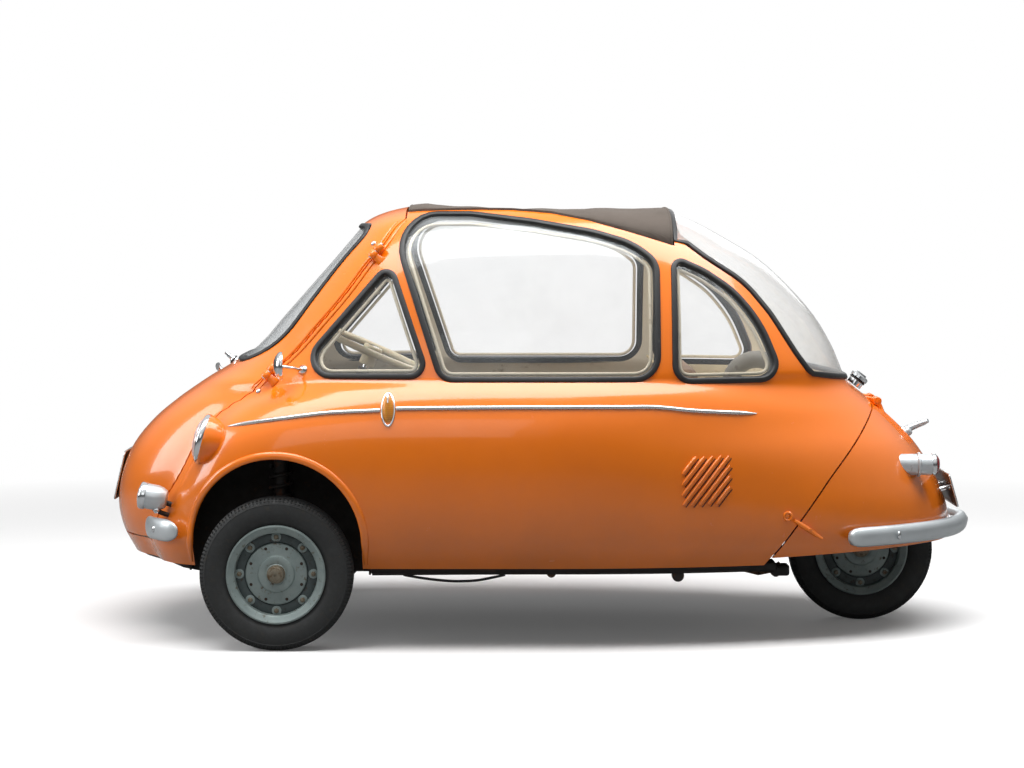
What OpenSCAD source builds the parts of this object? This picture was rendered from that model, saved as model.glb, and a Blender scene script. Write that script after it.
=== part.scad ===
// Three-wheeled bubble car with a side-hinged front door, a fabric roof,
// a clear rear dome and a lift-up tail over one rear wheel.
// Millimetres. +X is forward, +Y is the car's left, +Z is up, z = 0 is the ground.

/* [Body] */
// Length of the body skin, nose to tail
body_length = 2574; // [2140:2:3100]
// Width of the body over the flanks
body_width = 1370; // [1140:10:1650]
// Height of the body skin above the ground
body_height = 1295; // [1080:5:1560]
// Thickness of the body wall, outer skin to inner lining
wall = 24; // [16:1:32]
// Gap all round the door and the tail
shut_gap = 5; // [3:0.5:8]
// Radius of the soft valley between cabin and flanks
valley_radius = 30; // [10:1:60]

/* [Glazing] */
// Thickness of the window and windscreen glass
glass = 5; // [3:0.5:8]
// Visible width of the rubber seals
seal_width = 16; // [10:1:24]
// How far the rubber seals stand proud of the skin
seal_proud = 5; // [2:0.5:10]

/* [Running gear] */
// Distance between the front and rear axles
wheelbase = 1765; // [1500:5:1900]
// Distance between the front wheels' centre planes
track = 1220; // [1120:5:1240]
// Outer radius of the tyres
tyre_radius = 222; // [190:1:240]
// Width of the tyres
tyre_width = 108; // [90:1:120]
// Outer radius of the rims' flanges
rim_radius = 142; // [120:1:160]
// Radius of the stub axles and the rear axle
axle_radius = 12; // [10:0.5:16]
// Running clearance of a wheel on its axle
axle_clearance = 0.05; // [0.02:0.01:0.1]
// Distance from the wheel's centre plane in to the kingpin
kingpin_offset = 70; // [60:1:90]
// Clear radius of the wheel arch over the tyre
arch_radius = 248; // [225:1:290]

/* [Cabin] */
// Width of the bench seat
seat_width = 980; // [700:10:1040]
// Diameter of the steering wheel
steering_wheel_diameter = 380; // [300:5:420]

/* [Hidden] */
$fn = 48;
e = 0.01;

// ---- Body skin -------------------------------------------------------------
// The skin is two stacks of rounded outlines, one per height, merged smoothly.
// The tables give the nominal body; kx, ky and kz carry it to the sizes above.
kx = body_length / 2574;
ky = body_width / 1370;
kz = body_height / 1295;

// columns: height, front_x, rear_x, half_width, front_power, rear_power
CABIN = [
  [ 232, 1262, -1249, 556, 2.6, 1.7],
  [ 300, 1297, -1255, 600, 2.6, 1.7],
  [ 380, 1312, -1241, 617, 2.7, 1.7],
  [ 470, 1299, -1200, 625, 2.8, 1.7],
  [ 560, 1260, -1141, 623, 2.9, 1.7],
  [ 640, 1193, -1062, 616, 3.1, 1.9],
  [ 700, 1120,  -991, 610, 3.3, 2.1],
  [ 740, 1063,  -947, 605, 3.4, 2.3],
  [ 770, 1017,  -929, 600, 3.6, 2.4],
  [ 800,  966,  -916, 596, 3.6, 2.5],
  [ 860,  876,  -890, 586, 3.7, 2.5],
  [ 950,  796,  -836, 566, 3.8, 2.5],
  [1050,  708,  -748, 538, 3.9, 2.5],
  [1130,  638,  -658, 508, 4.0, 2.5],
  [1190,  587,  -560, 470, 4.0, 2.5],
  [1235,  546,  -478, 424, 3.9, 2.5],
  [1265,  487,  -405, 372, 3.5, 2.5],
  [1285,  400,  -330, 300, 3.1, 2.5],
  [1295,  300,  -250, 210, 2.8, 2.5]
];
// columns: height, front_x, rear_x, half_width, front_power, rear_power
FLANKS = [
  [ 232, 1166, -1242, 602, 5.0, 2.0],
  [ 300, 1187, -1255, 658, 5.0, 2.0],
  [ 380, 1150, -1242, 679, 5.0, 2.0],
  [ 470, 1090, -1200, 685, 6.5, 2.0],
  [ 560, 1036, -1141, 685, 7.5, 2.0],
  [ 640,  996, -1061, 678, 7.0, 2.0],
  [ 700,  938,  -986, 662, 6.0, 2.1],
  [ 740,  890,  -920, 640, 5.0, 2.2],
  [ 765,  850,  -850, 612, 4.8, 2.3],
  [ 780,  780,  -760, 575, 4.5, 2.4],
  [ 792,  640,  -640, 480, 4.2, 2.5]
];

// Column c of table t at height z: a cubic through the rows
function row_at(t, z, i = 0) = i >= len(t) - 2 || z < t[i + 1][0] ? i : row_at(t, z, i + 1);
function slope(t, i, c) =
  let (a = max(i - 1, 0), b = min(i + 1, len(t) - 1))
  (t[b][c] - t[a][c]) / (t[b][0] - t[a][0]);
function column(t, z, c) =
  let (i = row_at(t, z), h = t[i + 1][0] - t[i][0], u = (z - t[i][0]) / h)
  t[i][c] * (1 + 2 * u) * pow(1 - u, 2) + t[i + 1][c] * u * u * (3 - 2 * u)
  + h * (slope(t, i, c) * u * pow(1 - u, 2) - slope(t, i + 1, c) * u * u * (1 - u));

// Radius of one rounded outline along a bearing from the car's middle
function outline_radius(bearing, front, rear, half, front_power, rear_power) =
  let (n = cos(bearing) >= 0 ? front_power : rear_power, a = cos(bearing) >= 0 ? front : -rear)
  pow(pow(abs(cos(bearing)) / a, n) + pow(abs(sin(bearing)) / half, n), -1 / n);
function outline(t, z) = [
  kx * column(t, z, 1), kx * column(t, z, 2), ky * column(t, z, 3),
  column(t, z, 4), column(t, z, 5)
];
function radius_in(o, bearing) = outline_radius(bearing, o[0], o[1], o[2], o[3], o[4]);
function soft_max(a, b, k) = max(a, b) + pow(max(k - abs(a - b), 0), 2) / (4 * k);

// Radii of the skin at one height for a list of bearings; z is a nominal height
function skin_radii(z, bearings) =
  let (c = outline(CABIN, z), has_flank = z <= 792, f = has_flank ? outline(FLANKS, z) : c)
  [for (b = bearings) has_flank ? soft_max(radius_in(c, b), radius_in(f, b), valley_radius)
                                : radius_in(c, b)];
function skin_radius(bearing, z) = skin_radii(z, [bearing])[0];

// Half width of the skin at a place along the car; both are real millimetres
function half_in(o, x) =
  let (a = x >= 0 ? o[0] : -o[1], n = x >= 0 ? o[3] : o[4])
  o[2] * pow(max(1 - pow(min(abs(x) / a, 1), n), 0), 1 / n);
function skin_half(x, z) =
  let (zn = z / kz, c = half_in(outline(CABIN, zn), x))
  zn <= 792 ? max(c, half_in(outline(FLANKS, zn), x)) : c;
// The nose's and the tail's place on the centreline at a height
function nose_x(z) = skin_radius(0, z / kz);
function tail_x(z) = -skin_radius(180, z / kz);

skin_steps = 60;
lining_steps = 30;
glass_steps = 36;
function bearings(n) = [for (i = [0:n - 1]) 360 * i / n];
// Heights of the skin's rings: each row of the cabin table, with steps between
function heights(steps) = [
  for (i = [0:len(CABIN) - 2], j = [0:steps - 1])
    CABIN[i][0] + (CABIN[i + 1][0] - CABIN[i][0]) * j / steps,
  CABIN[len(CABIN) - 1][0]
];
// How much of an inward offset goes down instead of in, near the roof
function drop_share(z) = min(max((z - 900) / 380, 0), 1);

// Closed solid inside the skin moved outwards by d, between nominal heights z0 and z1
module skin_solid(d, z0 = 0, z1 = 1300, steps = skin_steps, z_steps = 2) {
  levels = [for (z = heights(z_steps)) if (z >= z0 && z <= z1) z];
  at = bearings(steps);
  rings = [for (z = levels) let (r = skin_radii(z, at))
    [for (i = [0:steps - 1])
      [(r[i] + d) * cos(at[i]), (r[i] + d) * sin(at[i]), kz * z + d * drop_share(z)]]];
  // a closed inner solid has to leave through the open bottom
  floor_ring = [for (p = rings[0]) [p[0], p[1], p[2] - (d < 0 ? 30 : 0)]];
  stack_rings(d < 0 && z0 == 0 ? concat([floor_ring], rings) : rings);
}

// Polyhedron through equal rings, closed at both ends
module stack_rings(rings) {
  n = len(rings[0]);
  m = len(rings);
  polyhedron(
    points = [for (r = rings, p = r) p],
    faces = concat(
      [[for (i = [n - 1:-1:0]) n - 1 - i]],
      [for (k = [0:m - 2], i = [0:n - 1]) let (j = (i + 1) % n)
        each [[k * n + i, (k + 1) * n + i, (k + 1) * n + j], [k * n + i, (k + 1) * n + j, k * n + j]]],
      [[for (i = [n - 1:-1:0]) (m - 1) * n + i]]
    ), convexity = 6);
}

// Panels are thin curved shells whose cuts follow the skin, so each is one mesh
module one_mesh() resize([0, 0, 0]) union() children();

// Shell of the skin from offset inner to offset outer
module skin_shell(outer, inner, z0 = 0, z1 = 1300, steps = skin_steps, inner_steps = skin_steps,
                  z_steps = 2, inner_z_steps = 2) {
  difference() {
    skin_solid(outer, z0, z1, steps, z_steps);
    skin_solid(inner, z0 == 0 ? 0 : z0 - 60, z1 + (z1 < 1300 ? 60 : 0), inner_steps, inner_z_steps);
  }
}

// ---- Side outlines: rows are x, z and corner radius; windows at the seal's outer edge ----
SIDE_WINDOW = [[309, 773, 55], [470, 1268, 110], [215, 1268, 300], [36, 1246, 600],
               [-142, 1215, 500], [-262, 1180, 250], [-333, 1122, 70], [-333, 773, 75]];
VENT_WINDOW = [[452, 1132, 35], [330, 782, 45], [757, 782, 60]];
QUARTER_WINDOW = [[-367, 1145, 30], [-470, 1100, 300], [-560, 1040, 300], [-640, 945, 400],
                  [-712, 767, 55], [-367, 767, 55]];
DOME_EDGE = [[-376, 1400, 0], [-378, 1196, 60], [-467, 1128, 200], [-585, 1052, 300],
             [-660, 962, 400], [-735, 846, 300], [-785, 780, 60], [-936, 754, 0],
             [-1100, 726, 0], [-1100, 1400, 0]];
TAIL_EDGE = [[-1000, 800, 0], [-1006, 676, 30], [-841, 491, 900], [-661, 255, 0],
             [-600, 175, 0], [-1500, 175, 0], [-1500, 800, 0]];

// Outline with each corner rounded by its own radius
function unit(v) = v / norm(v);
function corner_arc(p, q, r, steps) =
  let (radius = q[2], o = [q[0], q[1]], u = unit([p[0], p[1]] - o), v = unit([r[0], r[1]] - o))
  radius <= 0 ? [o] :
  let (half = acos(u * v) / 2, reach = radius / tan(half), c = o + unit(u + v) * radius / sin(half),
       a = o + u * reach, b = o + v * reach, pa = a - c, pb = b - c,
       t0 = atan2(pa[1], pa[0]), dt = atan2(pa[0] * pb[1] - pa[1] * pb[0], pa * pb))
  [for (i = [0:steps]) c + radius * [cos(t0 + dt * i / steps), sin(t0 + dt * i / steps)]];
function rounded(pts, steps = 4) =
  [for (i = [0:len(pts) - 1], q = corner_arc(pts[(i + len(pts) - 1) % len(pts)], pts[i],
                                             pts[(i + 1) % len(pts)], steps)) q];

// Prism across the car over a side outline, grown by a margin
module side_prism(pts, grow = 0, y0 = -900, y1 = 900) {
  scale([1, 1, 1]) translate([0, y1, 0]) rotate([90, 0, 0]) linear_extrude(y1 - y0)
    offset(delta = grow) polygon([for (p = rounded(pts)) [kx * p[0], kz * p[1]]]);
}
// Prism along the car over a front outline in y and z
module front_prism(pts, grow = 0, x0 = 200, x1 = 1400) {
  translate([x0, 0, 0]) rotate([90, 0, 90]) linear_extrude(x1 - x0)
    offset(delta = grow) polygon([for (p = rounded(pts)) [ky * p[0], kz * p[1]]]);
}

// ---- Door zone: the wedge of the nose that swings with the door --------------
// columns: height, half angle of the door seen from the car's middle
DOOR_ANGLE = [[232, 18], [300, 18.3], [382, 19.6], [484, 22.8], [590, 24.6], [664, 26.5],
              [731, 30], [760, 30.8], [900, 35], [1014, 38.7], [1100, 40.8], [1172, 42.2],
              [1257, 41], [1400, 41]];
door_bottom = 292;
door_top_x = 412;
WINDSCREEN = [[-446, 818, 105], [-344, 1232, 90], [344, 1232, 90], [446, 818, 105]];

module door_zone(grow) {
  low = kz * door_bottom - grow;
  levels = concat([low], [for (z = [260:24:1400]) if (kz * z > low + 6) kz * z]);
  far = 1800;
  intersection() {
    stack_rings([for (z = levels) let (a = column(DOOR_ANGLE, z / kz, 1), apex = -grow / sin(a))
      [[apex, 0, z], [apex + far * cos(a), -far * sin(a) * ky / kx, z],
       [apex + far * cos(a), far * sin(a) * ky / kx, z]]]);
    translate([kx * door_top_x - grow, -900, 0]) cube([1400, 1800, 1800]);
  }
}

// ---- Wheel places -----------------------------------------------------------
axles_middle_x = -104.5;
front_axle_x = axles_middle_x + wheelbase / 2;
rear_axle_x = axles_middle_x - wheelbase / 2;
hub_z = tyre_radius;
side_y = track / 2;
kingpin_y = side_y - kingpin_offset;
arch_z = hub_z + 88;

module arch_cut(grow = 0, y0 = 300) {
  for (s = [-1, 1]) translate([front_axle_x, s > 0 ? 900 : -y0, 0]) rotate([90, 0, 0])
    linear_extrude(900 - y0) {
      translate([0, arch_z]) circle(arch_radius + grow);
      translate([-arch_radius - grow, 0]) square([2 * (arch_radius + grow), arch_z]);
    }
}

// ---- Fabric roof: edge and crown heights along the opening -------------------
// columns: x, height of the fabric's side edge, height of its crown
ROOF = [[406, 1256, 1288], [360, 1259, 1295], [272, 1261, 1287], [185, 1262, 1282], [99, 1261, 1279],
        [-16, 1252, 1278], [-130, 1230, 1279], [-245, 1198, 1280], [-310, 1178, 1281], [-375, 1158, 1280]];
roof_rise = 10;
fabric = 6;
fit = 0.4;

module roof_opening() {
  translate([0, 900, 0]) rotate([90, 0, 0]) linear_extrude(1800)
    polygon(concat([[kx * 415, 1900], [kx * 415, kz * 1255.5 + roof_rise]],
      [for (r = ROOF) [kx * r[0], kz * r[1] + roof_rise]],
      [[kx * -381, kz * 1156 + roof_rise], [kx * -381, 1900]]));
}
// Half an ellipse across the car, from the left edge over the crown to the right
function roof_arc(x, edge, crown, inset, n) =
  let (half = skin_half(x, edge + roof_rise) - 1 - inset, z0 = edge + roof_rise + fit,
       rise = crown - z0 - inset)
  [for (i = [0:n]) let (t = 180 * i / n, c = cos(t), s = sin(t))
    [x, half * sign(c) * pow(abs(c), 0.72), z0 + rise * pow(s, 0.9)]];
module fabric_roof() color("dimgray") {
  n = 18;
  stack_rings([for (i = [len(ROOF) - 1:-1:0]) let (r = ROOF[i], x = kx * r[0])
    concat(roof_arc(x, kz * r[1], kz * r[2], 0, n),
           [for (j = [n:-1:0]) roof_arc(x, kz * r[1], kz * r[2], fabric, n)[j]])]);
}

// ---- Body panels --------------------------------------------------------------
module cut_window(w) side_prism(w, fit);
module whole_body() {
  difference() {
    skin_shell(0, -wall, inner_steps = lining_steps, inner_z_steps = 1);
    door_zone(shut_gap / 2);
    side_prism(TAIL_EDGE, shut_gap / 2);
    side_prism(DOME_EDGE, fit);
    for (w = [SIDE_WINDOW, VENT_WINDOW, QUARTER_WINDOW]) cut_window(w);
    roof_opening();
    arch_cut();
    for (s = [-1, 1]) headlamp_place(s) headlamp_pod(fit);
  }
}
module body_half(s) color("darkorange") one_mesh() intersection() {
  whole_body();
  translate([-1700, s > 0 ? 0 : -1000, 0]) cube([3400, 1000, 1700]);
}
module off_skin(d = 0.3) difference() { children(); skin_solid(d); }
function skin_point(bearing, z, d = 0) =
  let (r = skin_radius(bearing, z) + d) [r * cos(bearing), r * sin(bearing), kz * z];

pan_floor = kz * 212;
// columns: height, inset from the skin's lower edge
PAN_OUTSIDE = [[202, -112], [206, -74], [216, -34], [231.6, -4]];
PAN_INSIDE = [[212, -116], [216, -84], [224, -48], [250, -16]];
module pan_solid(rows) {
  at = bearings(48);
  r = skin_radii(232, at);
  stack_rings([for (q = rows) [for (i = [0:47]) let (d = r[i] + q[1]) [d * cos(at[i]), d * sin(at[i]), kz * q[0]]]]);
}
house_y = 424;
house_wall = 6;
house_radius = 264;
house_z = arch_z - 10;
module floor_pan() color("dimgray") one_mesh() difference() {
  pan_solid(PAN_OUTSIDE);
  pan_solid(PAN_INSIDE);
  translate([-2000 + pan_rear, -900, 0]) cube([2000, 1800, 400]);
  for (s = [-1, 1]) translate([front_axle_x - house_radius - house_wall - 2, s > 0 ? house_y : -house_y - 600, 0])
    cube([2 * (house_radius + house_wall + 2), 600, 400]);
}
module house_side(r, y0, y1) translate([front_axle_x, y1, 0]) rotate([90, 0, 0]) linear_extrude(y1 - y0)
  intersection() {
    union() { translate([0, house_z]) circle(r); translate([-r, 0]) square([2 * r, house_z]); }
    translate([-500, pan_floor + fit]) square([1000, 900]);
  }
module wheel_housings() color("dimgray") one_mesh() intersection() {
  for (s = [-1, 1]) scale([1, s, 1]) difference() {
    house_side(house_radius + house_wall, house_y, 800);
    house_side(house_radius, house_y + house_wall, 801);
  }
  skin_solid(-wall - fit, steps = lining_steps, z_steps = 1);
}

// ---- Cabin ------------------------------------------------------------------
sheet = 12;
seat_front = 40;
seat_top = kz * 330;
wall_x = -440;
shelf_z = kz * 690;
module rear_bulkhead() color("tan") one_mesh() intersection() {
  translate([0, 900, 0]) rotate([90, 0, 0]) linear_extrude(1800) polygon([
    [seat_front, pan_floor + fit], [seat_front, seat_top], [wall_x, seat_top], [wall_x, shelf_z],
    [kx * -958, shelf_z], [kx * -958, shelf_z - sheet], [wall_x - sheet, shelf_z - sheet],
    [wall_x - sheet, seat_top - sheet], [seat_front - sheet, seat_top - sheet], [seat_front - sheet, pan_floor + fit]]);
  difference() {
    skin_solid(-wall - fit, steps = lining_steps, z_steps = 1);
    translate([-1500, -900, 0]) cube([3000, 1800, 0.1]);
    for (s = [-1, 1]) translate([-1500, s > 0 ? 460 : -1460, 0]) cube([3000, 1000, kz * 232 + 20]);
  }
}
// Side outline of a pad, leaning back towards its top, drawn out across the car
module pad(x0, x1, z0, z1, lean, half, r) translate([0, half, 0]) rotate([90, 0, 0]) linear_extrude(2 * half)
  polygon(rounded([[x0, z0, r], [x1, z0, r], [x1 + lean[1], z1, r], [x0 + lean[0], z1, r]]));
module seat_cushion() color("saddlebrown")
  pad(wall_x + 42, seat_front - 12, seat_top + fit, seat_top + 126, [0, 0], seat_width / 2, 36);
module seat_backrest() color("saddlebrown")
  pad(wall_x + fit, wall_x + 112, seat_top + 132, seat_top + 480, [0, -26], seat_width / 2, 34);

wheel_centre = [520, 215, kz * 850];
column_foot = [800, 215, pan_floor + fit];
column_axis = unit(wheel_centre - column_foot);
column_radius = 18;
shaft_radius = 9;
module along(p, v) translate(p) rotate([0, acos(v[2] / norm(v)), atan2(v[1], v[0])]) children();
module steering_column() color("dimgray") difference() {
  union() {
    along(column_foot - column_axis * 30, column_axis) cylinder(r = column_radius, h = norm(wheel_centre - column_foot) - 30);
    translate([column_foot[0] - 45, column_foot[1] - 45, column_foot[2]]) cube([90, 90, 8]);
  }
  along(column_foot + column_axis * (norm(wheel_centre - column_foot) - 170), column_axis)
    cylinder(r = shaft_radius + axle_clearance, h = 200);
  translate([column_foot[0] - 200, column_foot[1] - 200, column_foot[2] - 200]) cube([400, 400, 200]);
}
module steering_wheel() color("ivory") along(wheel_centre, column_axis) {
  rotate_extrude($fn = 64) translate([steering_wheel_diameter / 2 - 11, 0]) circle(11, $fn = 16);
  cylinder(r = 30, h = 24, center = true);
  translate([0, 0, -150]) cylinder(r = shaft_radius, h = 150);
  translate([0, 0, -50]) cylinder(r = 24, h = 40);
  for (a = [90, 210, 330]) rotate(a) translate([20, -9, -6]) cube([steering_wheel_diameter / 2 - 11 - 20, 18, 8]);
}

// ---- Engine, rear suspension, pipes ---------------------------------------------
wheel_room = 30;
engine_rear = rear_axle_x + tyre_radius + wheel_room;
engine_front = wall_x - sheet - 18;
pan_rear = engine_rear + 135;
module engine() color("gray") {
  translate([engine_rear, -150, pan_floor + fit]) cube([engine_front - engine_rear, 300, 360]);
  // silencer and tail pipe under the right of the engine
  translate([engine_rear + 20, -250, pan_floor + 38]) rotate([0, -90, 0]) cylinder(r = 42, h = 330);
  translate([engine_rear - 305, -250, pan_floor + 24]) rotate([0, -90, 0]) cylinder(r = 14, h = 190);
  translate([engine_rear - 20, -250, pan_floor + 43]) rotate([-90, 0, 0]) translate([30, 0, 0]) cylinder(r = 16, h = 110);
}
arm_y = -82;
module swing_arm() color("dimgray") {
  difference() {
    translate([0, arm_y, 0]) rotate([90, 0, 0]) linear_extrude(46) union() {
      hull() { translate([rear_axle_x, hub_z]) circle(48); translate([engine_rear - 60, hub_z + 90]) circle(40); }
      translate([engine_rear - 100, hub_z + 60]) square([100 - fit, 68]);
    }
  }
  translate([rear_axle_x, arm_y - 1, hub_z]) rotate([-90, 0, 0]) cylinder(r = axle_radius, h = -arm_y + 45);
  translate([rear_axle_x + 110, arm_y - 23, hub_z + 60]) cylinder(r = 22, h = shelf_z - sheet - fit - hub_z - 60);
}
module brake_cable() color("black") {
  // columns: x, height above the pan's underside
  run = [[418, 0], [380, -7], [330, -14], [268, -19], [205, -17], [160, -9], [118, 0]];
  y = ky * 470;
  stack_rings([for (i = [len(run) - 1:-1:0]) [for (j = [0:9]) let (a = 36 * j)
    [kx * run[i][0], y + 4 * cos(a), kz * PAN_OUTSIDE[0][0] - 4.3 + run[i][1] + 4 * sin(a)]]]);
}
module air_hose() color("gray") {
  bend = 80;
  r = 27;
  legs = 52;
  path = concat([[bend, -legs, 0]], [for (t = [0:15:180]) [bend * cos(t), bend * sin(t), t]], [[-bend, -legs, 180]]);
  translate([-640, 250, shelf_z + fit + legs]) stack_rings([for (p = path)
    [for (j = [0:15]) let (a = 22.5 * j) [p[0] + r * cos(a) * cos(p[2]), r * sin(a), p[1] + r * cos(a) * sin(p[2])]]]);
}

// ---- Glazing ----------------------------------------------------------------
module windows(sides) for (s = sides, w = [SIDE_WINDOW, VENT_WINDOW, QUARTER_WINDOW])
  side_prism(w, -seal_width - 0.2, s > 0 ? 200 : -900, s > 0 ? 900 : -200);
module side_windows() color("lightblue", 0.4) one_mesh() intersection() {
  skin_shell(-4, -4 - glass, 740, 1290, steps = glass_steps, inner_steps = glass_steps, z_steps = 1, inner_z_steps = 1);
  windows([-1, 1]);
}
module window_seals() color("black") one_mesh() intersection() {
  skin_shell(seal_proud, -wall + 6, 740, 1290, steps = glass_steps, inner_steps = lining_steps, z_steps = 1, inner_z_steps = 1);
  for (s = [-1, 1], w = [SIDE_WINDOW, VENT_WINDOW, QUARTER_WINDOW]) difference() {
    side_prism(w, 0, s > 0 ? 200 : -900, s > 0 ? 900 : -200);
    side_prism(w, -seal_width, -901, 901);
  }
}
module rear_dome() color("lightblue", 0.4) one_mesh() intersection() {
  skin_shell(-2, -2 - glass, 700, steps = glass_steps, inner_steps = glass_steps, z_steps = 1, inner_z_steps = 1);
  side_prism(DOME_EDGE, -seal_width - 0.2);
}
module dome_seal() color("black") one_mesh() intersection() {
  skin_shell(seal_proud, -wall + 6, 700, steps = glass_steps, inner_steps = lining_steps, z_steps = 1, inner_z_steps = 1);
  difference() { side_prism(DOME_EDGE, 0); side_prism(DOME_EDGE, -seal_width, -901, 901); }
}
module windscreen() color("lightblue", 0.4) one_mesh() intersection() {
  skin_shell(-3, -3 - glass, 770, steps = glass_steps, inner_steps = glass_steps, z_steps = 1, inner_z_steps = 1);
  front_prism(WINDSCREEN, -seal_width - 0.2);
}
module windscreen_seal() color("black") one_mesh() intersection() {
  skin_shell(seal_proud, -wall + 6, 770, steps = glass_steps, inner_steps = lining_steps, z_steps = 1, inner_z_steps = 1);
  difference() { front_prism(WINDSCREEN, 0); front_prism(WINDSCREEN, -seal_width, 199, 1401); }
}

// ---- Door --------------------------------------------------------------------
door_low = [kx * 845, ky * 525, kz * 755];
door_high = [kx * 477, ky * 457, kz * 1172];
door_axis = unit(door_high - door_low);
pin_radius = 6;
eye_radius = 11;
module door_panel() color("darkorange") one_mesh() difference() {
  intersection() {
    skin_shell(0, -wall, inner_steps = lining_steps, inner_z_steps = 1);
    door_zone(-shut_gap / 2);
  }
  front_prism(WINDSCREEN, fit);
}
// A hinge's block from its eye down to the skin, towards a side
function across(v, axis) = v - axis * (v * axis);
module hinge_block(p, v, reach, z0, z1) off_skin(0.35) hull() {
  along(p, v) translate([0, 0, z0]) cylinder(r = eye_radius, h = z1 - z0, $fn = 24);
  translate(across(reach, v)) along(p, v) translate([0, 0, z0 + 2]) cylinder(r = 6, h = z1 - z0 - 4, $fn = 12);
}
module eye_bore(p, v, r) along(p, v) translate([0, 0, -60]) cylinder(r = r, h = 120, $fn = 48);
module pin(p, v, z0, z1) along(p, v) translate([0, 0, z0]) cylinder(r = pin_radius, h = z1 - z0, $fn = 48);
door_side = unit([0.55, -0.83, 0.02]);
DOOR_HINGES = [door_low + door_axis * 60, door_high - door_axis * 30];
tail_pin = [kx * -1026, 0, kz * 686];
TAIL_HINGES = [-75, 75];
tail_up = [0.78, 0, 0.62];
tail_in = [0.62, 0, -0.78];
module hinge_brackets() color("silver") {
  for (p = DOOR_HINGES) {
    one_mesh() difference() {
      hinge_block(p, door_axis, -28 * door_side + [-16, -22, -14], -24, -1);
      eye_bore(p, door_axis, pin_radius - 0.5);
    }
    pin(p, door_axis, -24, 26);
  }
  for (y = TAIL_HINGES) let (p = tail_pin + [0, y, 0]) {
    one_mesh() difference() {
      hinge_block(p, [0, 1, 0], 34 * tail_up + 16 * tail_in, -24, -1);
      eye_bore(p, [0, 1, 0], pin_radius - 0.5);
    }
    pin(p, [0, 1, 0], -24, 26);
  }
}
module door_fittings() color("silver") {
  for (p = DOOR_HINGES) one_mesh() difference() {
    hinge_block(p, door_axis, 30 * door_side + [-12, -14, -10], 1, 26);
    eye_bore(p, door_axis, pin_radius + axle_clearance);
  }
  // handle on the right of the nose, wiper spindle under the glass
  one_mesh() off_skin() {
    h = skin_point(-17, 745, -10);
    along(h, [0.85, -0.2, 0.5]) { cylinder(r = 17, h = 22, $fn = 24); cylinder(r = 8, h = 44, $fn = 24); }
    hull() { translate(h + [0.85, -0.2, 0.5] * 36) sphere(9, $fn = 16);
             translate(h + [0.85, -0.2, 0.5] * 40 + [-12, 105, 22]) sphere(6, $fn = 16); }
    along(skin_point(4, 806, -8), [0.75, 0, 0.66]) cylinder(r = 7, h = 44, $fn = 20);
  }
}
plate = 2;
front_plate_size = [255, 155];
rear_plate_size = [340, 110];
module front_plate() color("black") {
  translate([nose_x(kz * 384) + 9, 0, kz * 384]) rotate([0, -13, 0]) {
    translate([-plate, -front_plate_size[0] / 2, 0]) cube([plate, front_plate_size[0], front_plate_size[1]]);
  }
  one_mesh() off_skin() translate([nose_x(kz * 384) + 9, 0, kz * 384]) rotate([0, -13, 0])
    for (y = [-60, 60]) translate([-60 - plate, y, 78]) rotate([0, 90, 0]) cylinder(r = 9, h = 60, $fn = 24);
}

// ---- Tail ---------------------------------------------------------------------
module tail_panel() color("darkorange") one_mesh() difference() {
  intersection() {
    skin_shell(0, -wall, z1 = 792, inner_steps = lining_steps, inner_z_steps = 1);
    side_prism(TAIL_EDGE, -shut_gap / 2);
  }
  translate([0, 900, 0]) rotate([90, 0, 0]) linear_extrude(1800)
    polygon([[kx * -560, 100], [kx * -560, kz * 252], [kx * -1150, kz * 266], [kx * -1500, kz * 256], [kx * -1500, 100]]);
}
bumper_z = 310;
module rear_bumper() color("silver") {
  at = [for (i = [0:24]) 150.5 + 59 * i / 24];
  n = 12;
  stack_rings([for (i = [len(at) - 1:-1:0]) let (b = at[i], r = skin_radius(b, bumper_z), t = i == 0 || i == len(at) - 1 ? 0.55 : 1)
    [for (j = [0:n - 1]) let (a = 360 * j / n, q = r + 36.8 + 22 * t * cos(a))
      [q * cos(b), q * sin(b), kz * bumper_z + 30 * t * sin(a)]]]);
  one_mesh() difference() {
    for (b = [158, 180, 202]) let (p = skin_point(b, bumper_z, -8))
      translate(p) rotate([0, 90, b]) cylinder(r = 12, h = 60, $fn = 24);
    skin_solid(0.3);
    rear_bar_core();
  }
}
module rear_bar_core() {
  at = [for (i = [0:24]) 150.5 + 59 * i / 24];
  stack_rings([for (i = [24:-1:0]) let (b = at[i], r = skin_radius(b, bumper_z))
    [for (j = [0:11]) let (a = 30 * j, q = r + 36.8 + 21.7 * cos(a)) [q * cos(b), q * sin(b), kz * bumper_z + 29.7 * sin(a)]]]);
}
module tail_lamps() color("firebrick") one_mesh() off_skin() {
  for (s = [-1, 1]) translate([kx * -1070, s * 250, kz * 504]) rotate([0, -90, 0]) {
    cylinder(r = 32, h = kx * 118, $fn = 32);
    translate([0, 0, kx * 118]) cylinder(r1 = 32, r2 = 26, h = 7, $fn = 32);
  }
  translate([kx * -1128, -42, kz * 566]) rotate([0, 38, 0]) translate([-28, 0, 0]) cube([60, 84, 40]);
}
module rear_plate() color("black") {
  translate([tail_x(kz * 364) - 14, 0, kz * 364]) rotate([0, 16, 0]) {
    translate([0, -rear_plate_size[0] / 2, 0]) cube([plate, rear_plate_size[0], rear_plate_size[1]]);
  }
  one_mesh() off_skin() translate([tail_x(kz * 364) - 14, 0, kz * 364]) rotate([0, 16, 0])
    for (y = [-70, 70]) translate([plate, y, 55]) rotate([0, 90, 0]) cylinder(r = 9, h = 90, $fn = 24);
}
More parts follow.
